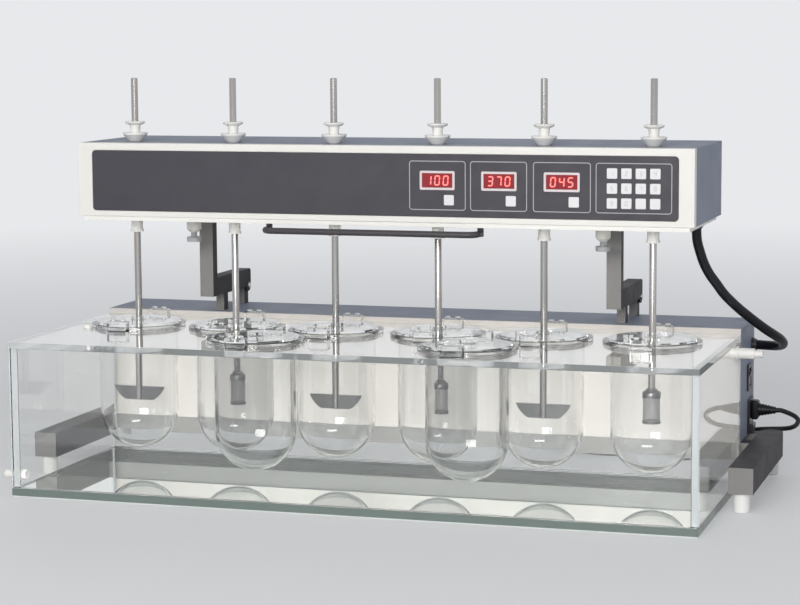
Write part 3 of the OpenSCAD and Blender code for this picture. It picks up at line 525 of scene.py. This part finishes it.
CORD_DIAMETER = 6.6 * MM
CORD_ROUTE = [
    (497, 244.5, 93),
    (503, 245, 93),
    (511, 248, 90),
    (518, 253, 86),
    (522, 259, 82),
    (524, 266, 77),
    (522, 274, 71),
    (518, 281, 66),
    (511, 287, 62),
    (503, 290, 60),
    (494, 291, 59),
    (479, 292, 58),
    (461, 293, 56),
    (444, 295, 51),
    (429, 298, 43),
    (415, 303, 33),
    (401, 309, 23),
    (386, 316, 14),
    (370, 323, 7),
    (352, 330, 3.8),
    (333, 335, 3.3),
    (313, 338, 3.3),
    (293, 340, 3.3),
    (274, 339.9, 3.3),
    (260, 339.9, 3.3),
    (245, 339.9, 3.3),
]
COIL_AT = (230, 388)
COIL_RADIUS = 26.5
COIL_STEP = 7.2
COIL_TURNS = 3
COIL_RINGS = 24
COIL_Z = 3.3
LEAD_OUT = 8


def coil_point(t):
    """Layer 1 winds in, and layer 2 climbs and winds out."""
    angle = math.radians(-90 - 360 * t)
    r = COIL_RADIUS + COIL_STEP * abs(COIL_TURNS - t)
    z = COIL_Z + COIL_STEP * min(1, max(0, 2 * (t - COIL_TURNS) + 0.5))
    return (COIL_AT[0] + r * math.cos(angle), COIL_AT[1] + r * math.sin(angle), z)


def make_cord():
    """One unbroken sheath from the connector through the coil to the plug."""
    turns = 2 * COIL_TURNS
    route = CORD_ROUTE + [coil_point(i / COIL_RINGS) for i in range(turns * COIL_RINGS + 1)]
    x, y, z = coil_point(turns)
    route += [(x - LEAD_OUT, y, z), (x - 2 * LEAD_OUT, y, z)]
    points = [Vector(p) * MM for p in route]
    fine = smooth_curve(points, 3)
    mesh = tube_mesh("mains_cord_sheath", fine, CORD_DIAMETER / 2, 14)
    cord = as_piece("mains_cord_sheath", mesh, "root", "cord_black")
    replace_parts(cord, "mains_cord", "cord_coil")
    make_connector()
    make_plug()


def make_connector():
    """The connector's body, and its ribbed and tapered strain relief."""
    low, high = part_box("mains_connector")
    inset, sunk, collar = 2 * MM, 4 * MM, 3.3 * MM
    start = CASE_SIDE + 13 * MM
    bm = bmesh.new()
    add_box(
        bm,
        (low.x, low.y + inset, low.z + inset),
        (CASE_SIDE + sunk, high.y - inset, high.z - inset),
    )
    soften(bm, 1.2 * MM)
    body = bmesh.new()
    add_box(body, (CASE_SIDE + collar, low.y, low.z), (start, high.y, high.z))
    soften(body, 3 * MM, 4)
    ribs, thick, thin = 6, 9, 4.4
    pitch = (high.x - start) / ribs
    profile = [(0, start), (thick * MM, start)]
    for i in range(ribs):
        at = start + pitch * i
        r = (thick - (thick - thin) * i / ribs) * MM
        profile += [
            (r, at + 0.3 * MM),
            (r - 0.3 * MM, at + pitch * 0.62),
            (r - 1.3 * MM, at + pitch * 0.66),
            (r - 1.4 * MM, at + pitch * 0.97),
        ]
    end = high.x - 0.1 * MM
    profile += [(CORD_DIAMETER / 2 + 0.4 * MM, end), (0, end)]
    middle = Matrix.Translation((0, (low.y + high.y) / 2, (low.z + high.z) / 2))
    add_lathe(body, profile, 32, middle @ Matrix.Rotation(math.radians(90), 4, "Y"))
    join(bm, body)
    obj = make_piece(bm, "connector_body", "root", "cord_black")
    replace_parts(obj, "mains_connector")
    return obj


def make_plug():
    """The plug at the coil's end: a strain relief, a gripped body and two pins."""
    low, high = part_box("mains_plug")
    middle = (low + high) / 2
    here = Matrix.Translation((high.x, middle.y, middle.z))
    place = here @ Matrix.Rotation(math.radians(-90), 4, "Y")
    neck, face, tip = 24 * MM, 62 * MM, 81 * MM
    bm = bmesh.new()
    profile = [(0, 0.1 * MM), (CORD_DIAMETER / 2 + 0.6 * MM, 0.1 * MM)]
    for i in range(5):
        at = (1 + 4.4 * i) * MM
        r = (4.2 + 0.5 * i) * MM
        profile += [
            (r, at),
            (r + 0.3 * MM, at + 2.6 * MM),
            (r - 0.7 * MM, at + 2.9 * MM),
            (r - 0.7 * MM, at + 4.2 * MM),
        ]
    profile += [(6.4 * MM, neck), (0, neck)]
    add_lathe(bm, profile, 28, place)

    body = bmesh.new()
    add_box(body, (high.x - face, low.y, low.z), (high.x - neck, high.y, high.z))
    soften(body, 4 * MM, 4)
    rib, depth, half = 1.6 * MM, 0.8 * MM, 6 * MM
    for k in range(4):
        at = high.x - (30 + 4 * k) * MM
        for side in (low.y, high.y - depth):
            add_box(
                body,
                (at - rib, side, middle.z - half),
                (at, side + depth, middle.z + half),
            )

    pin_r, apart = 2 * MM, 6 * MM
    pin = [(0, face - 1 * MM), (pin_r, face - 1 * MM)]
    pin += arc(0, tip - pin_r, pin_r, 0, 75, 5) + [(0, tip)]
    for side in (-apart, apart):
        add_lathe(body, pin, 16, place @ Matrix.Translation((0, side, 0)))
    join(bm, body)
    obj = make_piece(bm, "plug_body", "root", "cord_black")
    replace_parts(obj, "mains_plug")
    return obj


make_cord()

# Conduit between the rear case and the head, in millimetres

CONDUIT_ROUTE = [
    (403, 137, 362),
    (403, 137, 350),
    (404, 138, 334),
    (408, 140, 318),
    (413, 142, 303),
    (420, 145, 289),
    (429, 148, 276),
    (438, 151, 263),
    (448, 155, 252),
    (459, 160, 241),
    (470, 166, 231),
    (481, 174, 221),
    (491, 183, 212),
    (500, 194, 204),
    (506, 207, 197),
    (508, 221, 190),
    (504, 235, 185),
    (495, 247, 182),
    (482, 255, 181),
    (468, 258.5, 181),
    (458, 258.5, 181),
]


def make_conduit():
    """The hose, which bends on its way between the case and the head."""
    points = smooth_curve([Vector(p) * MM for p in CONDUIT_ROUTE], 6)
    mesh = tube_mesh("conduit_sheath", points, CONDUIT_RADIUS, 24)
    mesh.materials.append(MAT["hose_black"])
    obj = bpy.data.objects.new("conduit_sheath", mesh)
    bpy.context.scene.collection.objects.link(obj)
    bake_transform(obj)
    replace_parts(obj, "conduit")


def make_glands():
    """A black nut round the conduit at each end."""
    inner, outer, high = CONDUIT_RADIUS + 0.12 * MM, 9.4 * MM, 7 * MM
    foot = 0.05 * MM
    profile = [
        (inner, foot),
        (outer, foot),
        (outer, high * 0.6),
        (outer - 1.2 * MM, high * 0.68),
        (outer - 1.6 * MM, high),
        (inner, high),
    ]
    down = Matrix.Rotation(math.pi, 4, "X")
    outward = Matrix.Rotation(math.radians(90), 4, "Y")
    for name, body, at, turn in (
        ("conduit_gland_head", "head", (403, 137, 358), down),
        ("conduit_gland_case", "root", (460, 258.5, 181), outward),
    ):
        bm = bmesh.new()
        add_lathe(bm, profile, 40, Matrix.Translation(Vector(at) * MM) @ turn, closed=True)
        make_piece(bm, name, body, "black_plastic", smooth_angle=30)


make_conduit()
make_glands()

# Bath


def make_walls():
    """Four walls as one bonded piece, with a fine gap to the plates below and above."""
    low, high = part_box("tank_walls")
    gap = 0.15 * MM
    outer = [(low.x, low.y), (high.x, low.y), (high.x, high.y), (low.x, high.y)]
    inner = [
        (low.x + WALL_THICK, low.y + WALL_THICK),
        (high.x - WALL_THICK, low.y + WALL_THICK),
        (high.x - WALL_THICK, high.y - WALL_THICK),
        (low.x + WALL_THICK, high.y - WALL_THICK),
    ]
    foot, top = low.z + gap, high.z - gap
    bm = bmesh.new()
    rings = []
    for loop, z in ((outer, foot), (outer, top), (inner, top), (inner, foot)):
        rings.append([bm.verts.new((x, y, z)) for x, y in loop])
    bridge(bm, rings, closed=True)
    bmesh.ops.recalc_face_normals(bm, faces=bm.faces)
    soften(bm, 0.7 * MM, 2)
    walls = as_piece("bath_walls", to_mesh(bm, "bath_walls"), "root", "clear_acrylic")
    rear = high.y - WALL_THICK - 1 * MM
    recolor(walls, "back_wall", lambda p: abs(p.normal.y) > FLAT and p.center.y > rear)
    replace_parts(weigh(walls), "tank_walls")


def make_floor_plate():
    """The floor plate: a mirror top, green-grey sides and a white painted highlight along their
    foot.
    """
    floor = dress("tank_floor", 0.9 * MM, 2, "floor_edge")
    line = 1.9 * MM
    bm = bmesh.new()
    bm.from_mesh(floor.data)
    parts = bm.verts[:] + bm.edges[:] + bm.faces[:]
    bmesh.ops.bisect_plane(bm, geom=parts, plane_co=(0, 0, line), plane_no=(0, 0, 1))
    bm.to_mesh(floor.data)
    bm.free()
    recolor(floor, "floor_green", lambda p: p.normal.z > FLAT)
    # Painted highlight: a white strip along the foot of the sides, where the bevel catches light
    recolor(floor, "white_painted_highlight", lambda p: p.center.z < line and p.normal.z > -FLAT)


def make_vessel_plate():
    """The plate over the bath, with a pale rim whose upper edge carries a white painted
    highlight.
    """
    edge = 0.6 * MM
    plate = dress("vessel_plate", edge, 2)
    low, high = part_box("vessel_plate")

    def on_rim(p):
        c = p.center
        near = min(c.x - low.x, high.x - c.x, c.y - low.y, high.y - c.y)
        return near < edge and abs(p.normal.z) < 0.95

    recolor(plate, "edge_pale", on_rim)
    # Painted highlight: the rim's upward faces are white
    recolor(plate, "white_painted_highlight", lambda p: on_rim(p) and p.normal.z >= 0.1)


def make_seams():
    """The cemented joints between the bath's long walls and its end walls, seen as pale bands."""
    low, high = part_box("tank_walls")
    half, outside, inside, ends = 0.15 * MM, 0.7 * MM, 0.3 * MM, 0.8 * MM
    bm = bmesh.new()
    for x in (low.x, high.x - WALL_THICK):
        for y in (low.y + WALL_THICK, high.y - WALL_THICK):
            add_box(
                bm,
                (x + outside, y - half, low.z + ends),
                (x + WALL_THICK - inside, y + half, high.z - ends),
            )
    make_piece(bm, "bath_seams", "root", "clear_acrylic", "seam_pale")


def make_vessels():
    """Eight blown glass vessels with a rounded flange."""
    low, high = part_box("glass_vessels")
    outer, wall, flange_r, flange_t = 54 * MM, 2.2 * MM, 59 * MM, 4 * MM
    top = PLATE_TOP + flange_t
    bottom = low.z + top - high.z
    mid = bottom + outer
    inner = outer - wall
    neck, under, over, mouth = 1.6 * MM, 1.2 * MM, 1.4 * MM, 2 * MM
    profile = [(0, bottom)] + arc(0, mid, outer, -88, 0, 26)
    profile += arc(outer + neck, top - flange_t - neck, neck, 180, 90, 5)
    profile += arc(flange_r - under, top - flange_t + under, under, -90, 0, 4)
    profile += arc(flange_r - over, top - over, over, 0, 90, 4)
    profile += arc(inner + mouth, top - mouth, mouth, 90, 180, 5)
    profile += [(inner, mid)] + arc(0, mid, inner, -4, -88, 25) + [(0, bottom + wall)]
    for i in range(1, 9):
        lid_low, lid_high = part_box(f"lid_{i}")
        x = (lid_low.x + lid_high.x) / 2
        y = ROW_Y if i <= len(SPINDLES) else ROW_Y - SPARE_AHEAD
        bm = bmesh.new()
        add_lathe(bm, profile, 96, Matrix.Translation((x, y, 0)))
        vessel = make_piece(bm, f"vessel_{i}_glass", "root", "vessel_glass", smooth_angle=60)
        # The key's light reaches the rear panel through both rows alike
        vessel.visible_shadow = False
        if i == 1:
            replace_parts(vessel, "glass_vessels")


def make_lids():
    for i in range(1, 9):
        dress(f"lid_{i}", 0.5 * MM, 2)


def make_clamps():
    """The clear blocks, with white screws of their own."""
    dress("vessel_clamps", 0.6 * MM, 2)
    aside, away, sunk = 7 * MM, 71.2 * MM, 0.1 * MM
    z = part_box("vessel_clamps")[1].z - sunk
    centres = [(s.x, ROW_Y) for s in SPINDLES] + [(x, ROW_Y - SPARE_AHEAD) for x in SPARE_X]
    bm = bmesh.new()
    for x, y in centres:
        for dx in (-aside, aside):
            for dy in (-away, away):
                place = Matrix.Translation((x + dx, y + dy, z))
                add_screw(bm, place, 3.9 * MM, 1.4 * MM)
    make_piece(bm, "clamp_screws", "root", "white_plastic")


make_walls()
make_floor_plate()
make_vessel_plate()
dress("seat_rings", 0.5 * MM, 2)
make_seams()
make_vessels()
make_lids()
make_clamps()

# Head, case and base

# Nodes that keep their shape: the width of the rounded edge in millimetres, and its steps
ROUNDED = {
    "base_frame": (1.6, 3),
    "hinge_posts": (0.8, 3),
    "feet": (2.2, 3),
    "case_cover": (1.5, 3),
    "case_front_panel": (0.8, 2),
    "head_front_frame": (1.2, 3),
    "head_cover": (1.8, 3),
    "head_base": (0.8, 2),
    "tilt_arms": (1.2, 2),
    "hinge_pins": (0.6, 2),
    "tank_fittings": (0.5, 2),
    "left_thumb_knob": (0.8, 2),
    "right_thumb_knob": (0.8, 2),
    "power_inlet": (0.6, 2),
    "switch_housing": (0.6, 2),
    "rocker_switch": (0.5, 2),
    "drive_motor": (0.8, 2),
    "control_board": (0.2, 1),
    "bearing_deck": (0.5, 1),
}


def make_shells():
    """Housings, frame, posts and arms, with painted light on front faces and painted shade on the
    arms' sides and foot.
    """
    made = {node: dress(node, width * MM, steps) for node, (width, steps) in ROUNDED.items()}
    # Painted light: the front faces of the frame and posts get the arms' lighter grey, as if lit
    # from the front
    for node in ("base_frame", "hinge_posts"):
        recolor(made[node], "arm_grey", lambda p: p.normal.y < -0.7)
    # Painted shade: the arms' sides and the foot behind the upright get a near-black grey
    arm_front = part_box("tilt_arms")[0].y + 16.5 * MM
    recolor(
        made["tilt_arms"],
        "arm_painted_shade",
        lambda p: p.center.y > arm_front or abs(p.normal.x) > 0.7,
    )


def make_switch_mark():
    """A plain white bar printed on the lower half of the rocker."""
    low, high = (-0.05 * MM, -0.9 * MM, -3.2 * MM), (0.05 * MM, 0.9 * MM, 3.2 * MM)
    at = Matrix.Translation((CASE_SIDE + 1.99 * MM, 231.5 * MM, 133.7 * MM))
    lean = Matrix.Rotation(math.radians(1.6), 4, "Y")
    bm = bmesh.new()
    bmesh.ops.transform(bm, matrix=at @ lean, verts=add_box(bm, low, high))
    as_piece("switch_bar", to_mesh(bm, "switch_bar"), "rocker", "black_plastic", "switch_mark")


def make_handle():
    """The bent bar as one round tube, with a post up to the base plate at each end."""
    low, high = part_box("lift_handle")
    r = 4.25 * MM
    bend = 13 * MM
    left, right = low.x + r, high.x - r
    front, back = low.y + r, high.y - r
    path = [(left, back)]
    path += arc(left + bend, front + bend, bend, 180, 270, 10)
    path += arc(right - bend, front + bend, bend, 270, 360, 10)
    path += [(right, back)]
    tube = tube_mesh("handle_bar", [Vector((x, y, low.z + r)) for x, y in path], r, 28)
    bar = as_piece("handle_bar", tube, "head", "arm_grey", "handle_grey")
    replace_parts(bar, "lift_handle")
    edge = 1 * MM
    post = [(0, low.z), (r - edge, low.z), (r, low.z + edge), (r, high.z), (0, high.z)]
    bm = bmesh.new()
    for x in (left, right):
        add_lathe(bm, post, 32, Matrix.Translation((x, back, 0)))
    weigh(make_piece(bm, "handle_posts", "head", "arm_grey", "handle_grey"))


def make_spindles():
    for i in range(1, len(SPINDLES) + 1):
        dress(f"spindle_{i}", 0.5 * MM, 2)


make_shells()
make_switch_mark()
make_handle()
make_spindles()

# Stirring shafts


def make_paddle_shaft(i, x):
    """A polished rod with a satin blade."""
    shaft = dress(f"shaft_{i}", 0.4 * MM, 2)
    blade_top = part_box(f"shaft_{i}")[0].z + 19.2 * MM
    beside = ROD_RADIUS + 0.2 * MM

    def on_blade(p):
        square = abs(p.normal.y) > 0.999
        return p.center.z < blade_top and (abs(p.center.x - x) > beside or square)

    recolor(shaft, "blade_steel", on_blade)


def make_basket_shaft(i, place):
    """A polished rod that carries a basket."""
    low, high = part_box(f"shaft_{i}")
    cap = low.z + 37 * MM
    foot, edge = cap + 6 * MM, 1 * MM
    r = ROD_RADIUS
    profile = [(0, foot), (r, foot), (r, high.z - edge), (r - edge, high.z), (0, high.z)]
    bm = bmesh.new()
    add_lathe(bm, profile, 40, place)
    rod = make_piece(bm, f"shaft_{i}_rod", f"shaft_{i}", "shaft_steel")
    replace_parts(rod, f"shaft_{i}")
    make_basket_rims(i, place, low.z, cap)
    make_basket_screen(i, place, low.z, cap)


def make_basket_rims(i, place, bottom, cap):
    """A rim at each end of the screen, and the cap with its three spring clips."""
    outer, inner, rim = 12 * MM, 10.6 * MM, 3 * MM
    hub = 7.7 * MM
    bm = bmesh.new()
    for low, high in ((bottom, bottom + rim), (cap - rim, cap)):
        ring = [(inner, low), (outer, low), (outer, high), (inner, high)]
        add_lathe(bm, ring, 64, place, closed=True)
    lid = [
        (0, cap),
        (outer, cap),
        (outer, cap + 3.5 * MM),
        (outer - 1 * MM, cap + 4.5 * MM),
        (hub, cap + 6 * MM),
        (hub, cap + 8 * MM),
        (0, cap + 8 * MM),
    ]
    add_lathe(bm, lid, 64, place)
    soften(bm, 0.25 * MM, 1)
    half, thick = 2 * MM, 0.3 * MM
    for angle in (90, 210, 330):
        verts = add_box(
            bm,
            (outer - thick, -half, cap - 4 * MM),
            (outer + thick, half, cap + 2 * MM),
        )
        turn = place @ Matrix.Rotation(math.radians(angle), 4, "Z")
        bmesh.ops.transform(bm, matrix=turn, verts=verts)
    make_piece(bm, f"basket_{i}_rims", f"shaft_{i}", "shaft_steel", "blade_steel")


def make_basket_screen(i, place, bottom, cap):
    """The screen of woven wire, round the side and across the bottom."""
    radius, wire = 10.9 * MM, 0.17 * MM
    uprights, hoops, sides = 60, 26, 4
    low, high = bottom + 2.5 * MM, cap - 2.5 * MM
    bm = bmesh.new()
    for k in range(uprights):
        a = 2 * math.pi * k / uprights
        centre = place @ Vector((radius * math.cos(a), radius * math.sin(a), 0))
        add_lathe(bm, [(wire, low), (wire, high)], sides, Matrix.Translation(centre))
    for k in range(hoops):
        z = low + (high - low) * (k + 0.5) / hoops
        hoop = [(radius - wire, z), (radius, z - wire), (radius + wire, z), (radius, z + wire)]
        add_lathe(bm, hoop, uprights, place, closed=True)
    inner, pitch = 10.6 * MM, 1.25 * MM
    for k in range(-8, 9):
        x = k * pitch
        half = math.sqrt(inner**2 - x**2)
        for turn in (0, 90):
            verts = add_box(
                bm,
                (x - wire, -half, bottom + 0.9 * MM),
                (x + wire, half, bottom + 1.2 * MM),
            )
            turned = place @ Matrix.Rotation(math.radians(turn), 4, "Z")
            bmesh.ops.transform(bm, matrix=turned, verts=verts)
    make_piece(bm, f"basket_{i}_screen", f"shaft_{i}", "shaft_steel", "inner_steel")


def make_shafts():
    """A paddle at each odd station and a basket at each even one."""
    for i, spindle in enumerate(SPINDLES, 1):
        if i % 2:
            make_paddle_shaft(i, spindle.x)
        else:
            make_basket_shaft(i, Matrix.Translation((spindle.x, spindle.y, 0)))


make_shafts()

# Control panel

# Left and right ends of the four outlined fields, in millimetres
FIELDS = ((48.7, 125.4), (131.4, 207.5), (215.4, 291.4), (297.7, 396.4))
FIELD_Z = 412.8 * MM
FIELD_HEIGHT = 64.5 * MM

# The first display's middle, the steps between displays and between their digits
DISPLAY_X = 87 * MM
DISPLAY_STEP = 83.2 * MM
DIGIT_STEP = 11.5 * MM

# The middle of the keypad's lower left key, and the steps between keys
KEY_X = 319 * MM
KEY_Z = 393.4 * MM
KEY_STEP = (18.6 * MM, 19.1 * MM)


def round_rect(w, h, r, steps=5):
    """Points of a rounded rectangle about its middle."""
    out = []
    for sx, sz, start in ((1, 1, 0), (-1, 1, 90), (-1, -1, 180), (1, -1, 270)):
        out += arc(sx * (w / 2 - r), sz * (h / 2 - r), r, start, start + 90, steps)
    return out


def add_outline(bm, x, z, w, h, r, line, y, thick):
    """A raised line round a rounded rectangle."""
    outer = round_rect(w, h, r)
    inner = round_rect(w - 2 * line, h - 2 * line, max(r - line, 0.1 * MM))
    rows = []
    for loop, depth in ((outer, 0), (outer, thick), (inner, thick), (inner, 0)):
        rows.append([bm.verts.new((x + u, y - depth, z + v)) for u, v in loop])
    bridge(bm, rows, closed=True)


def add_segment(bm, cx, cz, length, width, upright, y, thick, lean):
    """One bar of a seven-segment figure, with pointed ends."""
    end, h = length / 2, width / 2
    points = [(-end, 0), (-end + h, h), (end - h, h), (end, 0), (end - h, -h), (-end + h, -h)]
    if upright:
        points = [(b, a) for a, b in points]
    places = [(cx + u + lean * (cz + v), cz + v) for u, v in points]
    back = [bm.verts.new((u, y, v)) for u, v in places]
    front = [bm.verts.new((u, y - thick, v)) for u, v in places]
    bridge(bm, [back, front])
    bm.faces.new(front)
    bm.faces.new(list(reversed(back)))


# The lit bars of each figure: a at the top, then clockwise to f, and g in the middle
SEGMENTS = {
    "0": "abcdef",
    "1": "bc",
    "2": "abged",
    "3": "abgcd",
    "4": "fgbc",
    "5": "afgcd",
    "6": "afgedc",
    "7": "abc",
    "8": "abcdefg",
    "9": "abcdfg",
}


def add_figure(bm, figure, x, z, w, h, bar, y, thick, lean=0.0):
    """A seven-segment figure about (x, z)."""
    places = {
        "a": (0, h / 2, False),
        "g": (0, 0, False),
        "d": (0, -h / 2, False),
        "f": (-w / 2, h / 4, True),
        "b": (w / 2, h / 4, True),
        "e": (-w / 2, -h / 4, True),
        "c": (w / 2, -h / 4, True),
    }
    start = len(bm.verts)
    for name in SEGMENTS[figure]:
        u, v, upright = places[name]
        length = (h / 2 if upright else w) - 0.25 * bar
        add_segment(bm, u, v, length, bar, upright, y, thick, lean)
    bm.verts.ensure_lookup_table()
    for v in bm.verts[start:]:
        v.co.x += x
        v.co.z += z


def make_fields():
    """The line round each of the panel's fields."""
    corner, line, thick = 4 * MM, 1.1 * MM, 0.12 * MM
    bm = bmesh.new()
    for left, right in FIELDS:
        x, w = (left + right) / 2 * MM, (right - left) * MM
        add_outline(bm, x, FIELD_Z, w, FIELD_HEIGHT, corner, line, PANEL_Y, thick)
    make_piece(bm, "panel_lines", "head", "panel_dark", "panel_line")


def make_displays():
    """A pale frame and three made-up figures on each red window."""
    low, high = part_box("display_windows")
    z = (low.z + high.z) / 2
    frames, digits = bmesh.new(), bmesh.new()
    for i, value in enumerate(("100", "370", "045")):
        x = DISPLAY_X + i * DISPLAY_STEP
        add_outline(frames, x, z, 47.4 * MM, 24.9 * MM, 2 * MM, 3 * MM, low.y, 0.3 * MM)
        for k, figure in enumerate(value):
            add_figure(
                digits,
                figure,
                x + (k - 1) * DIGIT_STEP,
                z,
                w=6 * MM,
                h=11.5 * MM,
                bar=1.5 * MM,
                y=low.y,
                thick=0.12 * MM,
                lean=0.08,
            )
    make_piece(frames, "display_frames", "head", "display_red", "display_frame")
    make_piece(digits, "display_digits", "head", "display_red", "digit_red")


def make_key_figures():
    """Plain figures on ten of the keypad's twelve keys."""
    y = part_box("membrane_keys")[0].y
    rows = ("1234", "5678", "90")
    bm = bmesh.new()
    for r, row in enumerate(rows):
        z = KEY_Z + (len(rows) - 1 - r) * KEY_STEP[1]
        for c, figure in enumerate(row):
            x = KEY_X + c * KEY_STEP[0]
            add_figure(bm, figure, x, z, 2.8 * MM, 5.4 * MM, 0.7 * MM, y, 0.08 * MM)
    make_piece(bm, "key_figures", "head", "key_white", "key_ink")


def make_panel():
    """The panel's film, keys and windows, and what is printed on them."""
    dress("control_panel", 0.5 * MM, 2)
    dress("membrane_keys", 0.3 * MM, 2)
    dress("display_windows", 0.3 * MM, 2)
    make_fields()
    make_displays()
    make_key_figures()


make_panel()

# Screws, and the nodes that stay as they are


def add_screw_row(bm, low, high, margin, z):
    """Seven screws along a housing's back, with this share of its width free at each end."""
    back = Matrix.Rotation(math.radians(-90), 4, "X")
    for k in range(7):
        x = low.x + (margin + (1 - 2 * margin) * k / 6) * (high.x - low.x)
        add_screw(bm, Matrix.Translation((x, high.y, z)) @ back)


def make_screws():
    """Screws along the back of the head's cover and of the rear case."""
    low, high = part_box("head_cover")
    bm = bmesh.new()
    add_screw_row(bm, low, high, 0.05, low.z + 9 * MM)
    weigh(make_piece(bm, "head_screws", "head", "inner_steel", "screw_steel"))
    low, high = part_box("case_cover")
    inset = 10 * MM
    bm = bmesh.new()
    for z in (low.z + inset, high.z - inset):
        add_screw_row(bm, low, high, 0.04, z)
    weigh(make_piece(bm, "case_screws", "root", "inner_steel", "screw_steel"))


def finish_the_rest():
    """CAD nodes that keep their own shape get their material."""
    for name, node in NODES.items():
        if not node.hide_render:
            node.data.materials.clear()
            node.data.materials.append(MAT[SLOT_OF[name]])


make_screws()
finish_the_rest()

# Stage and light


def seen_rays(tree):
    """One for rays of the camera, of glass and of gloss."""
    path = tree.nodes.new("ShaderNodeLightPath")
    value = path.outputs["Is Camera Ray"]
    for other in ("Is Transmission Ray", "Is Glossy Ray"):
        most = tree.nodes.new("ShaderNodeMath")
        most.operation = "MAXIMUM"
        tree.links.new(value, most.inputs[0])
        tree.links.new(path.outputs[other], most.inputs[1])
        value = most.outputs[0]
    return value


def make_floor():
    """A plain pale floor that fades into the backdrop's grey far away."""
    reach = 30
    corners = [(-reach, -reach, 0), (reach, -reach, 0), (reach, reach, 0), (-reach, reach, 0)]
    mesh = bpy.data.meshes.new("pale_floor")
    mesh.from_pydata(corners, [], [(0, 1, 2, 3)])
    floor = bpy.data.objects.new("pale_floor", mesh)
    bpy.context.scene.collection.objects.link(floor)
    s = Shader("pale_floor", (0.84, 0.85, 0.865), 0.6)
    s.tint_from(s.noise(3), (0.82, 0.83, 0.845), 0.5)
    far = s.tree.nodes.new("ShaderNodeEmission")
    far.inputs["Color"].default_value = (*BACKDROP, 1)
    length = s.tree.nodes.new("ShaderNodeVectorMath")
    length.operation = "LENGTH"
    s.link(s.coords.outputs["Object"], length.inputs[0])
    fade = s.spread(length.outputs["Value"], 0.3, 1, start=1.0, stop=4.2)
    share = s.tree.nodes.new("ShaderNodeMath")
    share.operation = "MULTIPLY"
    s.link(fade, share.inputs[0])
    s.link(seen_rays(s.tree), share.inputs[1])
    mix = s.tree.nodes.new("ShaderNodeMixShader")
    s.link(share.outputs[0], mix.inputs[0])
    s.link(s.bsdf.outputs[0], mix.inputs[1])
    s.link(far.outputs[0], mix.inputs[2])
    s.link(mix.outputs[0], s.tree.nodes["Material Output"].inputs["Surface"])
    mesh.materials.append(s.mat)


def make_world():
    """A dim even light, and the backdrop's grey for what is seen of it."""
    world = bpy.data.worlds.new("studio")
    bpy.context.scene.world = world
    world.use_nodes = True
    tree = world.node_tree
    light = tree.nodes["Background"]
    light.inputs["Color"].default_value = (0.93, 0.96, 1.0, 1)
    light.inputs["Strength"].default_value = 0.3
    seen = tree.nodes.new("ShaderNodeBackground")
    seen.inputs["Color"].default_value = (*BACKDROP, 1)
    seen.inputs["Strength"].default_value = 1.0
    mix = tree.nodes.new("ShaderNodeMixShader")
    tree.links.new(seen_rays(tree), mix.inputs[0])
    tree.links.new(light.outputs[0], mix.inputs[1])
    tree.links.new(seen.outputs[0], mix.inputs[2])
    tree.links.new(mix.outputs[0], tree.nodes["World Output"].inputs["Surface"])


def add_lamp(name, place, target, size, power, color):
    """A rectangular soft lamp that faces the target."""
    data = bpy.data.lights.new(name, "AREA")
    data.shape = "RECTANGLE"
    data.size, data.size_y = size
    data.energy = power
    data.color = color
    lamp = bpy.data.objects.new(name, data)
    bpy.context.scene.collection.objects.link(lamp)
    lamp.location = place
    lamp.rotation_euler = (Vector(target) - Vector(place)).to_track_quat("-Z", "Y").to_euler()


def make_lights():
    add_lamp("key", (0.3, -3.35, 1.35), (0, 0, 0.28), (1.8, 1.3), 79, (1, 0.98, 0.95))
    add_lamp("fill", (2.9, -1.2, 1.2), (0, 0, 0.25), (1.4, 1.4), 4, (0.95, 0.97, 1))
    add_lamp("top", (0, 0.4, 2.7), (0, 0, 0.2), (2.0, 1.2), 1.5, (1, 1, 1))


make_floor()
make_world()
make_lights()
bpy.context.scene.view_settings.view_transform = "Standard"
